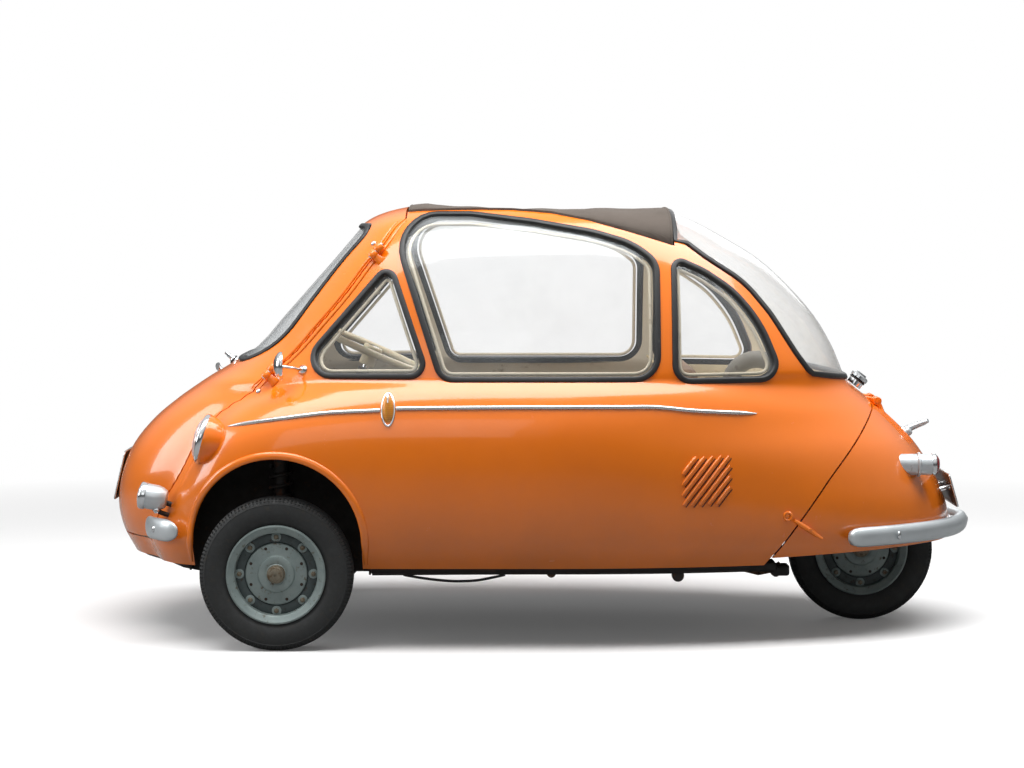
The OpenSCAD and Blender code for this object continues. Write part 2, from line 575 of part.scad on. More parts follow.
module tail_fittings() color("silver") {
  for (y = TAIL_HINGES) one_mesh() difference() {
    hinge_block(tail_pin + [0, y, 0], [0, 1, 0], -34 * tail_up + 16 * tail_in, 1, 26);
    eye_bore(tail_pin + [0, y, 0], [0, 1, 0], pin_radius + axle_clearance);
  }
  one_mesh() off_skin() for (s = [-1, 1]) scale([1, s, 1]) let (p = [kx * -782, skin_half(kx * -782, kz * 351), kz * 351])
    translate(p + [-18, -40, -16]) cube([36, 56, 32]);
}

// ---- Trim, lamps, front bumpers -----------------------------------------------
// columns: x, z along the dented strip on the flank
STRIP = [[880, 654], [749, 674], [632, 690], [475, 697], [432, 702], [127, 705], [-310, 705], [-442, 690], [-613, 679]];
strip_half = 9;
INDICATOR = [[430, 648, 9], [430, 748, 9], [476, 748, 9], [476, 648, 9]];
module side_trim() color("silver") one_mesh() intersection() {
  skin_shell(7, 0.4, 600, 760, steps = 48, z_steps = 1, inner_z_steps = 2);
  difference() {
    for (s = [-1, 1]) translate([0, s > 0 ? 900 : -300, 0]) rotate([90, 0, 0]) linear_extrude(600)
      polygon(concat([for (p = STRIP) [kx * p[0], kz * p[1] + strip_half]],
                     [for (i = [len(STRIP) - 1:-1:0]) [kx * STRIP[i][0], kz * STRIP[i][1] - strip_half]]));
    side_prism(INDICATOR, 0.6);
    for (s = [-1, 1]) headlamp_place(s) headlamp_pod(1);
  }
}
module side_indicators() color("orange") one_mesh() intersection() {
  skin_shell(24, 0.4, 600, 770, steps = 48, z_steps = 1, inner_z_steps = 2);
  side_prism(INDICATOR);
}
lamp_radius = 72;
lamp_at = [990, 558, 605];
module headlamp_place(s) translate([kx * lamp_at[0], s * ky * lamp_at[1], kz * lamp_at[2]]) rotate([0, 90 - 14, s * 2]) children();
module headlamp_pod(grow) rotate_extrude($fn = 48)
  polygon(concat([[0, -62 - grow], [48 + grow, -62 - grow], [66 + grow, -30], [lamp_radius + grow, -12]],
    grow > 0 ? [[lamp_radius + grow, 90], [0, 90]] : [[lamp_radius, 6], [lamp_radius - 5, 12], [0, 12]]));
module headlamps() color("silver") for (s = [-1, 1]) headlamp_place(s) {
  headlamp_pod(0);
  translate([0, 0, 12]) rotate_extrude($fn = 48) polygon([[0, 0], [66, 0], [62, 6], [52, 11], [38, 15], [20, 17.5], [0, 18.5]]);
}
module auxiliary_lamps() color("silver") one_mesh() off_skin() for (s = [-1, 1]) scale([1, s, 1])
  translate([kx * 1152, ky * 490, kz * 430]) {
    rotate([0, 90 - 10, 0]) translate([0, 0, -42]) { cylinder(r1 = 26, r2 = 37, h = 34, $fn = 32); translate([0, 0, 34]) cylinder(r = 37, h = 48, $fn = 32); }
    translate([-4, 0, 0]) rotate([0, -105, 0]) cylinder(r = 10, h = 90, $fn = 20);
    translate([-20, 0, -4]) rotate([0, -125, 0]) cylinder(r = 8, h = 110, $fn = 20);
  }
module front_bumpers() color("silver") one_mesh() off_skin() for (s = [-1, 1]) scale([1, s, 1]) {
  at = [for (i = [0:6]) 20.6 + 7.4 * i / 6];
  stack_rings([for (b = at) let (r = skin_radius(b, 338), t = b == at[0] || b == at[6] ? 0.6 : 1)
    [for (j = [9:-1:0]) let (a = 36 * j, q = r + 26 + 11 * t * cos(a)) [q * cos(b), q * sin(b), kz * 338 + 38 * t * sin(a)]]]);
  translate(skin_point(24, 338, -8)) rotate([0, 90, 24]) cylinder(r = 12, h = 32, $fn = 20);
  translate(skin_point(24, 338, 30)) rotate([0, 90, 24]) cylinder(r = 9, h = 12, $fn = 20);
}
module fuel_cap() color("silver") one_mesh() off_skin() {
  translate([kx * -962, 0, kz * 728]) rotate([0, -38, 0]) { cylinder(r = 24, h = 40, $fn = 32); translate([0, 0, 26]) cylinder(r = 28, h = 14, $fn = 32); }
}
module mirror_arm() color("silver") one_mesh() off_skin() {
  p = [kx * 707, skin_half(kx * 707, kz * 806), kz * 806];
  translate(p + [0, -10, 0]) rotate([-90, 0, 0]) cylinder(r = 15, h = 20, $fn = 24);
  hull() { translate(p + [0, 6, 0]) sphere(6, $fn = 16); translate(p + [62, 62, 14]) sphere(5, $fn = 16); }
  along(p + [62, 62, 14], [1, 0.1, 0]) translate([0, 0, -8]) { cylinder(r = 42, h = 6, $fn = 36); translate([0, 0, 6]) cylinder(r1 = 42, r2 = 16, h = 20, $fn = 36); }
}

// ---- Running gear ---------------------------------------------------------------
boss_half = 16;
lug_gap = 2;
lug = 24;
module front_suspension() color("dimgray") for (s = [-1, 1]) scale([1, s, 1]) {
  difference() {
    union() {
      translate([front_axle_x, kingpin_y, hub_z - boss_half]) cylinder(r = 24, h = 2 * boss_half);
      translate([front_axle_x - 20, house_y + house_wall + fit, hub_z - 14]) cube([40, kingpin_y - house_y - house_wall - fit - 10, 28]);
      translate([front_axle_x - 70, house_y + house_wall + fit, hub_z - 14]) cube([140, 8, 90]);
    }
    translate([front_axle_x, kingpin_y, hub_z - 60]) cylinder(r = axle_radius + axle_clearance, h = 120);
  }
  translate([front_axle_x, house_y + house_wall + 42, hub_z + 13]) cylinder(r = 20, h = house_z + house_radius - hub_z - 13 - 1.7);
}
module knuckle(s) color("dimgray") scale([1, s, 1]) {
  translate([front_axle_x, kingpin_y, hub_z - boss_half - lug_gap - lug]) cylinder(r = axle_radius, h = 2 * (boss_half + lug_gap + lug));
  for (z = [hub_z - boss_half - lug_gap - lug, hub_z + boss_half + lug_gap]) translate([front_axle_x, kingpin_y, z]) {
    cylinder(r = 22, h = lug);
    translate([-22, 0, 0]) cube([44, 40, lug]);
  }
  translate([front_axle_x - 22, kingpin_y + 26, hub_z - boss_half - lug_gap - lug]) cube([44, 14, 2 * (boss_half + lug_gap + lug)]);
  translate([front_axle_x, kingpin_y + 30, hub_z]) rotate([-90, 0, 0]) cylinder(r = axle_radius, h = kingpin_offset + 44 - 30);
}
module wheel_at(x, y, s) translate([x, y, hub_z]) scale([1, s, 1]) rotate([-90, 0, 0]) children();
bead = rim_radius - 14;
half_w = tyre_width / 2;
tread_half = half_w - 12;
module tyre() color("black") rotate_extrude($fn = 96) {
  w = half_w;
  t = tyre_radius;
  wall_at = function(share) rim_radius + share * (t - rim_radius);
  polygon([[bead + 0.3, -38], [rim_radius - 1, -39], [rim_radius + 8, -44], [wall_at(0.375), -w + 1], [wall_at(0.55), -w],
           [wall_at(0.825), -w + 4], [t - 3, -tread_half], [t, -tread_half + 10], [t, tread_half - 10], [t - 3, tread_half],
           [wall_at(0.825), w - 4], [wall_at(0.55), w], [wall_at(0.375), w - 1], [rim_radius + 8, 44], [rim_radius - 1, 39], [bead + 0.3, 38]]);
}
drum_radius = 89;
bolt_circle = 107;
module rim() color("silver") difference() {
  union() {
    rotate_extrude($fn = 72) {
      polygon([[bead, 42], [rim_radius, 42], [rim_radius + 2, 46], [rim_radius - 3, 49], [bead - 6, 44], [bead - 10, 20],
               [drum_radius - 1, 20], [drum_radius - 1, 13], [bead - 9, 13], [bead - 10, -20],
               [bead - 6, -44], [rim_radius - 3, -49], [rim_radius + 2, -46], [rim_radius, -42], [bead, -42]]);
      polygon([[0, 34], [49, 34], [54, 28], [82, 28], [drum_radius, 22], [drum_radius, -26], [drum_radius - 6, -26],
               [drum_radius - 6, 18], [26, 18], [26, -26], [0, -26]]);
      polygon([[0, 33], [26, 33], [25, 56], [20, 61], [0, 61]]);
    }
    for (i = [0:7]) rotate(45 * i) translate([bolt_circle, 0, 19]) cylinder(r = 8, h = 8, $fn = 6);
  }
  translate([0, 0, -60]) cylinder(r = axle_radius + axle_clearance, h = 108);
  for (i = [0:7]) rotate(45 * i + 22.5) translate([79, 0, 10]) cylinder(r = 4, h = 30, $fn = 16);
}

body_half(1);  // body_left
body_half(-1);  // body_right
floor_pan();
wheel_housings();
rear_bulkhead();
fabric_roof();
rear_dome();
dome_seal();
side_windows();
window_seals();
side_trim();
side_indicators();
headlamps();
auxiliary_lamps();
front_bumpers();
fuel_cap();
hinge_brackets();
mirror_arm();  // mirror
steering_column();
seat_cushion();
seat_backrest();
engine();
swing_arm();
front_suspension();
brake_cable();
air_hose();
door_panel();
windscreen();
windscreen_seal();
front_plate();
door_fittings();
tail_panel();
rear_bumper();
tail_lamps();
rear_plate();
tail_fittings();
knuckle(1);  // knuckle_left
knuckle(-1);  // knuckle_right
wheel_at(front_axle_x, side_y, 1) tyre();  // tyre_front_left
wheel_at(front_axle_x, side_y, 1) rim();  // rim_front_left
wheel_at(front_axle_x, -side_y, -1) tyre();  // tyre_front_right
wheel_at(front_axle_x, -side_y, -1) rim();  // rim_front_right
wheel_at(rear_axle_x, 0, 1) tyre();  // tyre_rear
wheel_at(rear_axle_x, 0, 1) rim();  // rim_rear
steering_wheel();
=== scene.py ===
import math
from functools import lru_cache

import bmesh
import bpy
from mathutils import Matrix, Vector, noise


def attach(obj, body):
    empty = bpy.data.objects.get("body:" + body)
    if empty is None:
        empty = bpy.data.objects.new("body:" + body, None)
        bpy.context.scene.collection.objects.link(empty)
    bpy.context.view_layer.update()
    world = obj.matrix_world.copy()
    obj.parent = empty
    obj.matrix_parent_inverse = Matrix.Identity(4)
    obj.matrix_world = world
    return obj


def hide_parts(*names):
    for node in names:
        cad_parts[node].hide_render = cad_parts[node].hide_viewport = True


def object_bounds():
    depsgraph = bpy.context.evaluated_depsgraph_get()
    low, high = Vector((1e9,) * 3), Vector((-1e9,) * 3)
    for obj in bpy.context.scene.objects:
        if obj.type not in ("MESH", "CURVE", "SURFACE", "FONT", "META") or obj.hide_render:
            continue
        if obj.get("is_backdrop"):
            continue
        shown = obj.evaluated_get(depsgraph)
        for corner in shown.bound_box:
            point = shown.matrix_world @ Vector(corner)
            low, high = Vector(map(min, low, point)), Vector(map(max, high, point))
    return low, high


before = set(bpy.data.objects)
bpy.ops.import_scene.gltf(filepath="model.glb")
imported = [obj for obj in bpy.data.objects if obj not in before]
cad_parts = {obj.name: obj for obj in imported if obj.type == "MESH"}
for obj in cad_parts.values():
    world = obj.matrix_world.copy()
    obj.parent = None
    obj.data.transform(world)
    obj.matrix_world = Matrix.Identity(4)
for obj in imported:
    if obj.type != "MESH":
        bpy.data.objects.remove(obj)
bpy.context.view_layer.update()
scene = bpy.context.scene

# ---- Camera comes first -----------------------------------------------------
camera = bpy.data.objects.new("camera", bpy.data.cameras.new("camera"))
scene.collection.objects.link(camera)
EYE = (0.098, 8.28, 1.236)      # metres, level with the roof, off the left side
DIP = math.radians(3.48)        # the camera looks slightly down
camera.location = EYE
camera.rotation_euler = (math.radians(90) - DIP, 0, math.radians(180))
camera.data.lens = 93.73
camera.data.sensor_width = 36
scene.camera = camera
scene.view_settings.view_transform = "Standard"


# ---- Colours and nodes --------------------------------------------------------
def linear(code):
    """An sRGB hex colour as linear red, green, blue and alpha."""
    parts = [int(code[i:i + 2], 16) / 255 for i in (1, 3, 5)]
    return [c / 12.92 if c <= 0.04045 else ((c + 0.055) / 1.055) ** 2.4 for c in parts] + [1]


def add(tree, kind, feed=None, **settings):
    """Add a shader node with its settings; feed holds its links and values."""
    made = tree.nodes.new("ShaderNode" + kind)
    for name, value in settings.items():
        setattr(made, name, value)
    for socket, value in (feed or {}).items():
        if isinstance(value, bpy.types.NodeSocket):
            tree.links.new(value, made.inputs[socket])
        else:
            made.inputs[socket].default_value = value
    return made


def finish(name, colour, **values):
    """A new material with its plain values on the shader's own sockets."""
    made = bpy.data.materials.new(name)
    made.use_nodes = True
    shader = made.node_tree.nodes["Principled BSDF"]
    shader.inputs["Base Color"].default_value = linear(colour)
    for socket, value in values.items():
        shader.inputs[socket.replace("_", " ")].default_value = value
    return made, made.node_tree, shader


def weathered(name, colour, tone, grime, patch=150, tone_share=0.5, grime_size=60,
              grime_from=0.62, grime_to=0.72, rough=(0.3, 0.5), grain=2.0, bump=0.05,
              film=None, film_and_shade_low=0.22, film_and_shade_high=0.55, film_and_shade_share=0.5, wave=0, **values):
    """A finish that varies in tone, carries grime in spots, and a film that thickens towards the ground,
    which paints the shade of a lower body along with road film. Sizes are in millimetres."""
    made, tree, shader = finish(name, colour, **values)
    place = add(tree, "TexCoord").outputs["Object"]
    broad = add(tree, "TexNoise", {"Vector": place, "Scale": 1000 / patch, "Detail": 5,
                                   "Roughness": 0.6}).outputs[0]
    share = add(tree, "MapRange", {0: broad, 1: 0.3, 2: 0.75, 4: tone_share}).outputs[0]
    shade = add(tree, "Mix", {0: share, 6: linear(colour), 7: linear(tone)},
                data_type="RGBA").outputs[2]
    spots = add(tree, "TexNoise", {"Vector": place, "Scale": 1000 / grime_size, "Detail": 9,
                                   "Roughness": 0.68}).outputs[0]
    spot_share = add(tree, "MapRange", {0: spots, 1: grime_from, 2: grime_to}).outputs[0]
    shade = add(tree, "Mix", {0: spot_share, 6: shade, 7: linear(grime)},
                data_type="RGBA").outputs[2]
    # the film browns and darkens the lower part: road film, and painted shade of the lower body
    if film:
        height = add(tree, "SeparateXYZ", {0: place}).outputs[2]
        low = add(tree, "MapRange", {0: height, 1: film_and_shade_high, 2: film_and_shade_low}).outputs[0]
        streaks = add(tree, "MapRange", {0: broad, 1: 0.25, 2: 0.7, 3: 0.35}).outputs[0]
        film_and_shade_veil = add(tree, "Math", {0: low, 1: streaks}, operation="MULTIPLY").outputs[0]
        film_and_shade_veil = add(tree, "Math", {0: film_and_shade_veil, 1: film_and_shade_share}, operation="MULTIPLY").outputs[0]
        shade = add(tree, "Mix", {0: film_and_shade_veil, 6: shade, 7: linear(film)},
                    data_type="RGBA").outputs[2]
    tree.links.new(shade, shader.inputs["Base Color"])
    gloss = add(tree, "MapRange", {0: spots, 1: 0.35, 2: 0.7, 3: rough[0], 4: rough[1]})
    tree.links.new(gloss.outputs[0], shader.inputs["Roughness"])
    fine = add(tree, "TexNoise", {"Vector": place, "Scale": 1000 / grain, "Detail": 4})
    relief = add(tree, "Bump", {"Height": fine.outputs[0], "Strength": 0.6,
                                "Distance": bump / 1000})
    if wave:
        slow = add(tree, "TexNoise", {"Vector": place, "Scale": 4.5, "Detail": 2})
        relief = add(tree, "Bump", {"Height": slow.outputs[0], "Strength": 1.0,
                                    "Distance": wave / 1000, "Normal": relief.outputs[0]})
        tree.links.new(relief.outputs[0], shader.inputs["Coat Normal"])
    tree.links.new(relief.outputs[0], shader.inputs["Normal"])
    return made


# Old cellulose enamel: a clean orange, polished but thin, browned and darkened low down by road film and
# by painted shade of the lower body, and pocked with rust chips
ENAMEL = weathered(
    "orange_enamel", "#F67C0E", "#EE7309", "#7A3A12", patch=420, tone_share=0.55,
    grime_size=95, grime_from=0.755, grime_to=0.765, rough=(0.16, 0.28), grain=1.6, bump=0.008,
    film="#A06434", film_and_shade_low=0.2, film_and_shade_high=0.66, film_and_shade_share=0.6, wave=0.5,
    Coat_Weight=0.6, Coat_Roughness=0.03, IOR=1.45)
# Painted hardboard and vinyl of the lining: beige, scuffed and dusty
LINING = weathered("beige_lining_board", "#E6DCC6", "#D6C8AA", "#A8956F", patch=200,
                   grime_size=70, grime_from=0.6, grime_to=0.72, rough=(0.6, 0.8), grain=3, bump=0.2)
# Chassis black: brushed-on paint over steel, dull, with rust coming through
CHASSIS = weathered("chassis_black", "#1C1A18", "#2A2623", "#4A2E1C", patch=90, grime_size=30,
                    grime_from=0.56, grime_to=0.66, rough=(0.5, 0.8), grain=3, bump=0.4)
# Underseal: thick sprayed bitumen, matt, dusted brown
UNDERSEAL = weathered("underseal", "#15120F", "#241C15", "#3B2A1B", patch=140, grime_size=40,
                      grime_from=0.58, grime_to=0.7, rough=(0.75, 0.95), grain=6, bump=1.2)
# Aluminium paint over steel bumpers: soft silver, slightly blue, worn dull
SILVER = weathered("aluminium_paint", "#C4CACD", "#B2B9BC", "#7D776C", patch=70, grime_size=26,
                   grime_from=0.66, grime_to=0.74, rough=(0.28, 0.42), grain=1.5, bump=0.05,
                   Metallic=0.55)
# Anodised aluminium trim: drawn strip, satin, gone cloudy
TRIM = weathered("anodised_aluminium", "#C9CBCB", "#B4B7B8", "#8C8579", patch=160, grime_size=40,
                 grime_from=0.66, grime_to=0.74, rough=(0.22, 0.34), grain=1.2, bump=0.004,
                 Metallic=0.9)
# Chromium plate: mirror bright with a little pitting
CHROME = weathered("chromium_plate", "#D5D8DA", "#C4C8CB", "#6E5A44", patch=80, grime_size=7,
                   grime_from=0.7, grime_to=0.74, rough=(0.06, 0.2), grain=2, bump=0.01,
                   Metallic=1.0)
# Wheel paint: blue-grey silver cellulose, brake dust and rust in the corners
WHEEL = weathered("wheel_silver", "#8A9694", "#6E7C7B", "#564838", patch=46, tone_share=0.8,
                  grime_size=17, grime_from=0.585, grime_to=0.68, rough=(0.38, 0.6), grain=2,
                  bump=0.12, Metallic=0.25)
# The darker band of the wheel disc, on the sunken ring between disc and rim
WHEEL_DARK = weathered("wheel_silver_dark_band", "#454F4F", "#323B3C", "#352A20", patch=30,
                       tone_share=0.9, grime_size=14, grime_from=0.56, grime_to=0.66,
                       rough=(0.5, 0.7), grain=2, bump=0.2, Metallic=0.2)
# Hub: bare steel boss and grease cap, rusted brown-gold
HUB = weathered("rusty_hub_steel", "#7E7768", "#686052", "#5A4A36", patch=30, tone_share=0.9,
                grime_size=16, grime_from=0.5, grime_to=0.62, rough=(0.35, 0.65), grain=1.5,
                bump=0.15, Metallic=0.6)
# Extruded rubber gaskets: black, bloomed grey along the edges
RUBBER = weathered("gasket_rubber", "#17181A", "#26282A", "#3C3D3C", patch=60, grime_size=16,
                   grime_from=0.62, grime_to=0.75, rough=(0.42, 0.62), grain=1.5, bump=0.08)
# Tyre rubber: matt carbon black, greyed by dust on the walls
TYRE = weathered("tyre_rubber", "#1B1D1E", "#2A2B2A", "#38342E", patch=60, grime_size=22,
                 grime_from=0.55, grime_to=0.75, rough=(0.62, 0.85), grain=1.2, bump=0.12)
# Cast aluminium of the engine: grey, sand-cast skin, oily
CAST = weathered("cast_aluminium", "#6E6B66", "#57534D", "#2D261F", patch=70, grime_size=25,
                 grime_from=0.52, grime_to=0.65, rough=(0.45, 0.7), grain=1.5, bump=0.35,
                 Metallic=0.7)
# Exhaust steel: heat-browned with scale
EXHAUST = weathered("rusty_exhaust_steel", "#5B4636", "#6E4A31", "#2B1D15", patch=60,
                    tone_share=0.9, grime_size=12, grime_from=0.5, grime_to=0.6,
                    rough=(0.6, 0.85), grain=1.5, bump=0.35, Metallic=0.4)
# Cellulose-acetate steering wheel: ivory, yellowed, still glossy
IVORY = weathered("ivory_acetate", "#DDD2B4", "#CDBF9A", "#9C8B66", patch=60, grime_size=20,
                  grime_from=0.66, grime_to=0.75, rough=(0.25, 0.4), grain=2, bump=0.03,
                  Subsurface_Weight=0.05, Subsurface_Scale=0.003)
# Moulded grey duct hose: dusty reinforced rubber
HOSE = weathered("duct_rubber", "#8B877D", "#77736A", "#5D574C", patch=50, grime_size=18,
                 grime_from=0.58, grime_to=0.7, rough=(0.7, 0.9), grain=1.5, bump=0.3)
# Pressed plates: black enamel, chalky, left blank
PLATE = weathered("black_plate_enamel", "#1E2022", "#2B2D2E", "#4C4A44", patch=60, grime_size=20,
                  grime_from=0.64, grime_to=0.74, rough=(0.32, 0.5), grain=2, bump=0.04)
# Painted shadow: a dark brown that stands in for the shade inside the openings of the louvres and slits
# and inside the holes of the wheel discs
SLOT_SHADOW = weathered("louvre_shadow", "#23150B", "#2C1A0D", "#120B06", patch=30, rough=(0.8, 0.9))


# Toughened glass and blown acrylic: clear sheet that mirrors more at a slant
def clear_sheet(name, colour, head_on, aslant, rough, dust):
    made, tree, shader = finish(name, colour, Metallic=0.35, IOR=1.5)
    slant = add(tree, "LayerWeight", {0: 0.35}).outputs["Facing"]
    share = add(tree, "MapRange", {0: slant, 1: 0.1, 2: 1.0, 3: head_on, 4: aslant}).outputs[0]
    place = add(tree, "TexCoord").outputs["Object"]
    haze = add(tree, "TexNoise", {"Vector": place, "Scale": 3.5, "Detail": 7,
                                  "Roughness": 0.6}).outputs[0]
    dusty = add(tree, "MapRange", {0: haze, 1: 0.42, 2: 0.75, 4: dust}).outputs[0]
    total = add(tree, "Math", {0: share, 1: dusty}, operation="ADD").outputs[0]
    tree.links.new(total, shader.inputs["Alpha"])
    film = add(tree, "MapRange", {0: haze, 1: 0.35, 2: 0.75, 3: rough, 4: rough + 0.16})
    tree.links.new(film.outputs[0], shader.inputs["Roughness"])
    return made


GLASS = clear_sheet("window_glass", "#D5DADC", 0.045, 0.5, 0.02, 0.05)
ACRYLIC = clear_sheet("dome_acrylic", "#ECEDED", 0.10, 0.62, 0.05, 0.10)

# Moulded lamp glass: clear, with vertical flutes about 10 mm apart
LENS, tree, shader = finish("fluted_lamp_glass", "#E4E8EA", Roughness=0.08, Metallic=0.35,
                            IOR=1.5, Alpha=0.62)
flutes = add(tree, "TexWave", {"Vector": add(tree, "TexCoord").outputs["Object"], "Scale": 33,
                               "Distortion": 0.4}, bands_direction="Y")
ripple = add(tree, "Bump", {"Height": flutes.outputs[0], "Strength": 0.7, "Distance": 0.0015})
tree.links.new(ripple.outputs[0], shader.inputs["Normal"])


def lamp_plastic(name, colour, deep, glow):
    """Moulded lens plastic with ribs inside about 6 mm apart."""
    made, tree, shader = finish(name, colour, Roughness=0.16, IOR=1.49, Coat_Weight=0.4,
                                Subsurface_Weight=glow, Subsurface_Scale=0.01)
    place = add(tree, "TexCoord").outputs["Object"]
    ribs = add(tree, "TexWave", {"Vector": place, "Scale": 55, "Distortion": 0.3},
               bands_direction="Z").outputs[0]
    shade = add(tree, "Mix", {0: ribs, 6: linear(colour), 7: linear(deep)}, data_type="RGBA")
    tree.links.new(shade.outputs[2], shader.inputs["Base Color"])
    relief = add(tree, "Bump", {"Height": ribs, "Strength": 0.5, "Distance": 0.0008})
    tree.links.new(relief.outputs[0], shader.inputs["Normal"])
    return made


AMBER = lamp_plastic("amber_lens", "#E39A34", "#C67A1C", 0.2)
RUBY = lamp_plastic("ruby_lens", "#8E1410", "#5A0A08", 0.15)


def woven(name, colour, thread, dusty, pitch, sheen, rough=0.85):
    """Woven or embossed cloth; pitch is the spacing of its threads in millimetres."""
    made, tree, shader = finish(name, colour, Roughness=rough, Sheen_Weight=sheen,
                                Sheen_Roughness=0.5)
    place = add(tree, "TexCoord").outputs["Object"]
    scale = 1000 * math.tau / (pitch * 20)
    weft = add(tree, "TexWave", {"Vector": place, "Scale": scale, "Distortion": 0.6},
               bands_direction="X").outputs[0]
    warp = add(tree, "TexWave", {"Vector": place, "Scale": scale, "Distortion": 0.6},
               bands_direction="Y").outputs[0]
    weave = add(tree, "Math", {0: weft, 1: warp}, operation="MULTIPLY").outputs[0]
    blotch = add(tree, "TexNoise", {"Vector": place, "Scale": 7, "Detail": 7,
                                    "Roughness": 0.65}).outputs[0]
    stain = add(tree, "MapRange", {0: blotch, 1: 0.42, 2: 0.72, 4: 0.75}).outputs[0]
    shade = add(tree, "Mix", {0: weave, 6: linear(colour), 7: linear(thread)},
                data_type="RGBA").outputs[2]
    shade = add(tree, "Mix", {0: stain, 6: shade, 7: linear(dusty)}, data_type="RGBA").outputs[2]
    tree.links.new(shade, shader.inputs["Base Color"])
    relief = add(tree, "Bump", {"Height": weave, "Strength": 0.7, "Distance": 0.0006})
    tree.links.new(relief.outputs[0], shader.inputs["Normal"])
    return made


# Rubberised hood cloth: taupe, weathered; the real 1 mm threads are drawn 3 mm apart
HOOD_CLOTH = woven("hood_cloth", "#4E453E", "#5C5249", "#41382F", 3.0, 0.03)
# Seat cloth: brown leathercloth with a 4 mm emboss
SEAT_CLOTH = woven("seat_leathercloth", "#7A5B3D", "#8C6B4A", "#5E442C", 4.0, 0.1, 0.6)
PIPING = weathered("seat_piping", "#C9B58C", "#B7A176", "#86714C", patch=60, rough=(0.5, 0.7))


# ---- Solid shapes, in millimetres ------------------------------------------------
def wrapped(across, along, place):
    """A grid of faces whose corner (i, j) goes to place(i, j); seams are merged."""
    made = bmesh.new()
    bmesh.ops.create_grid(made, x_segments=across, y_segments=along, size=1)
    for v in made.verts:
        v.co = place(round((v.co.x + 1) / 2 * across), round((v.co.y + 1) / 2 * along))
    bmesh.ops.remove_doubles(made, verts=made.verts, dist=0.02)
    return made


def cap(shape):
    """Close every open loop."""
    open_edges = [e for e in shape.edges if len(e.link_faces) == 1]
    bmesh.ops.holes_fill(shape, edges=open_edges, sides=0)
    return shape


def lathe(profile, steps=48):
    """Turn (radius, height) pairs round the z axis."""
    made = bmesh.new()
    line = [made.verts.new((r, 0, h)) for r, h in profile]
    edges = [made.edges.new(pair) for pair in zip(line, line[1:])]
    bmesh.ops.spin(made, geom=line + edges, cent=(0, 0, 0), axis=(0, 0, 1), angle=math.tau,
                   steps=steps, use_merge=True, use_duplicate=False, dvec=(0, 0, 0))
    return made


def block(size, round_by=2.0, segments=2):
    """A box about its middle with rounded edges."""
    made = bmesh.new()
    bmesh.ops.create_cube(made, size=1, matrix=Matrix.Diagonal((*size, 1)))
    bmesh.ops.bevel(made, geom=made.edges[:], offset=round_by, affect="EDGES",
                    segments=segments, profile=0.5, material=-1)
    return made


def prism(points, low, high):
    """A flat outline in x and z drawn out along y."""
    made = bmesh.new()
    face = made.faces.new([made.verts.new((x, low, z)) for x, z in points])
    out = bmesh.ops.extrude_face_region(made, geom=[face])
    moved = [g for g in out["geom"] if isinstance(g, bmesh.types.BMVert)]
    bmesh.ops.translate(made, verts=moved, vec=(0, high - low, 0))
    return made


def circle(radius, sides, squash=1.0):
    """A round section for sweep, flattened by squash."""
    return [(radius * math.cos(math.tau * i / sides), radius * squash * math.sin(math.tau * i / sides))
            for i in range(sides)]


def sweep(path, section, ups=None, closed=False, sizes=None):
    """Carry a closed section of (side, up) pairs along a path of points."""
    count = len(path)
    path = [Vector(p) for p in path]
    up = Vector((0, 0, 1))
    stations = []
    for i, p in enumerate(path):
        before = path[i - 1] if i or closed else p
        after = path[(i + 1) % count] if i + 1 < count or closed else p
        ahead = (after - before).normalized()
        if ups:
            up = Vector(ups[i])
        elif abs(up.dot(ahead)) > 0.98 and not i:
            up = Vector((1, 0, 0))
        up = (up - ahead * up.dot(ahead)).normalized()
        stations.append((p, ahead.cross(up), up, sizes[i] if sizes else 1))
    around = len(section)

    def place(i, j):
        p, side, up, size = stations[j % count]
        s, h = section[i % around]
        return p + (side * s + up * h) * size
    made = wrapped(around, count if closed else count - 1, place)
    return made if closed else cap(made)


def toward(point, axis):
    """The place of a shape whose z axis points along axis."""
    axis = Vector(axis).normalized()
    return (Matrix.Translation(point) @ Matrix.Rotation(math.atan2(axis.y, axis.x), 4, "Z")
            @ Matrix.Rotation(math.acos(max(-1, min(1, axis.z))), 4, "Y"))


def at(x=0, y=0, z=0):
    """A move without a turn."""
    return Matrix.Translation((x, y, z))


MIRROR = Matrix.Diagonal((1, -1, 1, 1))


class Piece:
    """One object: shapes are joined into it, and done() puts it in the scene."""

    def __init__(self, name, *finishes):
        self.name, self.finishes, self.bm = name, finishes, bmesh.new()

    def join(self, shape, place=Matrix(), finish=0, both=False):
        """Join a shape; both adds its mirror image on the car's other side."""
        bmesh.ops.remove_doubles(shape, verts=shape.verts, dist=0.01)
        bmesh.ops.recalc_face_normals(shape, faces=shape.faces)
        for f in shape.faces:
            f.material_index = finish
        shape.transform(place)
        self.take(shape)
        if both:
            shape.transform(MIRROR)
            bmesh.ops.reverse_faces(shape, faces=shape.faces)
            self.take(shape)
        shape.free()
        return self

    def take(self, shape):
        """Copy a shape's faces in, with their finishes."""
        mesh = bpy.data.meshes.new("joined")
        shape.to_mesh(mesh)
        self.bm.from_mesh(mesh)
        bpy.data.meshes.remove(mesh)

    def done(self, body, slot, *nodes, sharp=35):
        """Smooth all but the sharp edges, turn millimetres to metres, and ride a body."""
        limit = math.radians(sharp)
        self.bm.transform(Matrix.Scale(0.001, 4))
        for f in self.bm.faces:
            f.smooth = True
        for e in self.bm.edges:
            e.smooth = e.calc_face_angle(0) < limit
        mesh = bpy.data.meshes.new(self.name)
        self.bm.to_mesh(mesh)
        self.bm.free()
        made = bpy.data.objects.new(self.name, mesh)
        scene.collection.objects.link(made)
        for coat in self.finishes:
            mesh.materials.append(coat)
        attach(made, body)
        if nodes:
            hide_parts(*nodes)
        return made


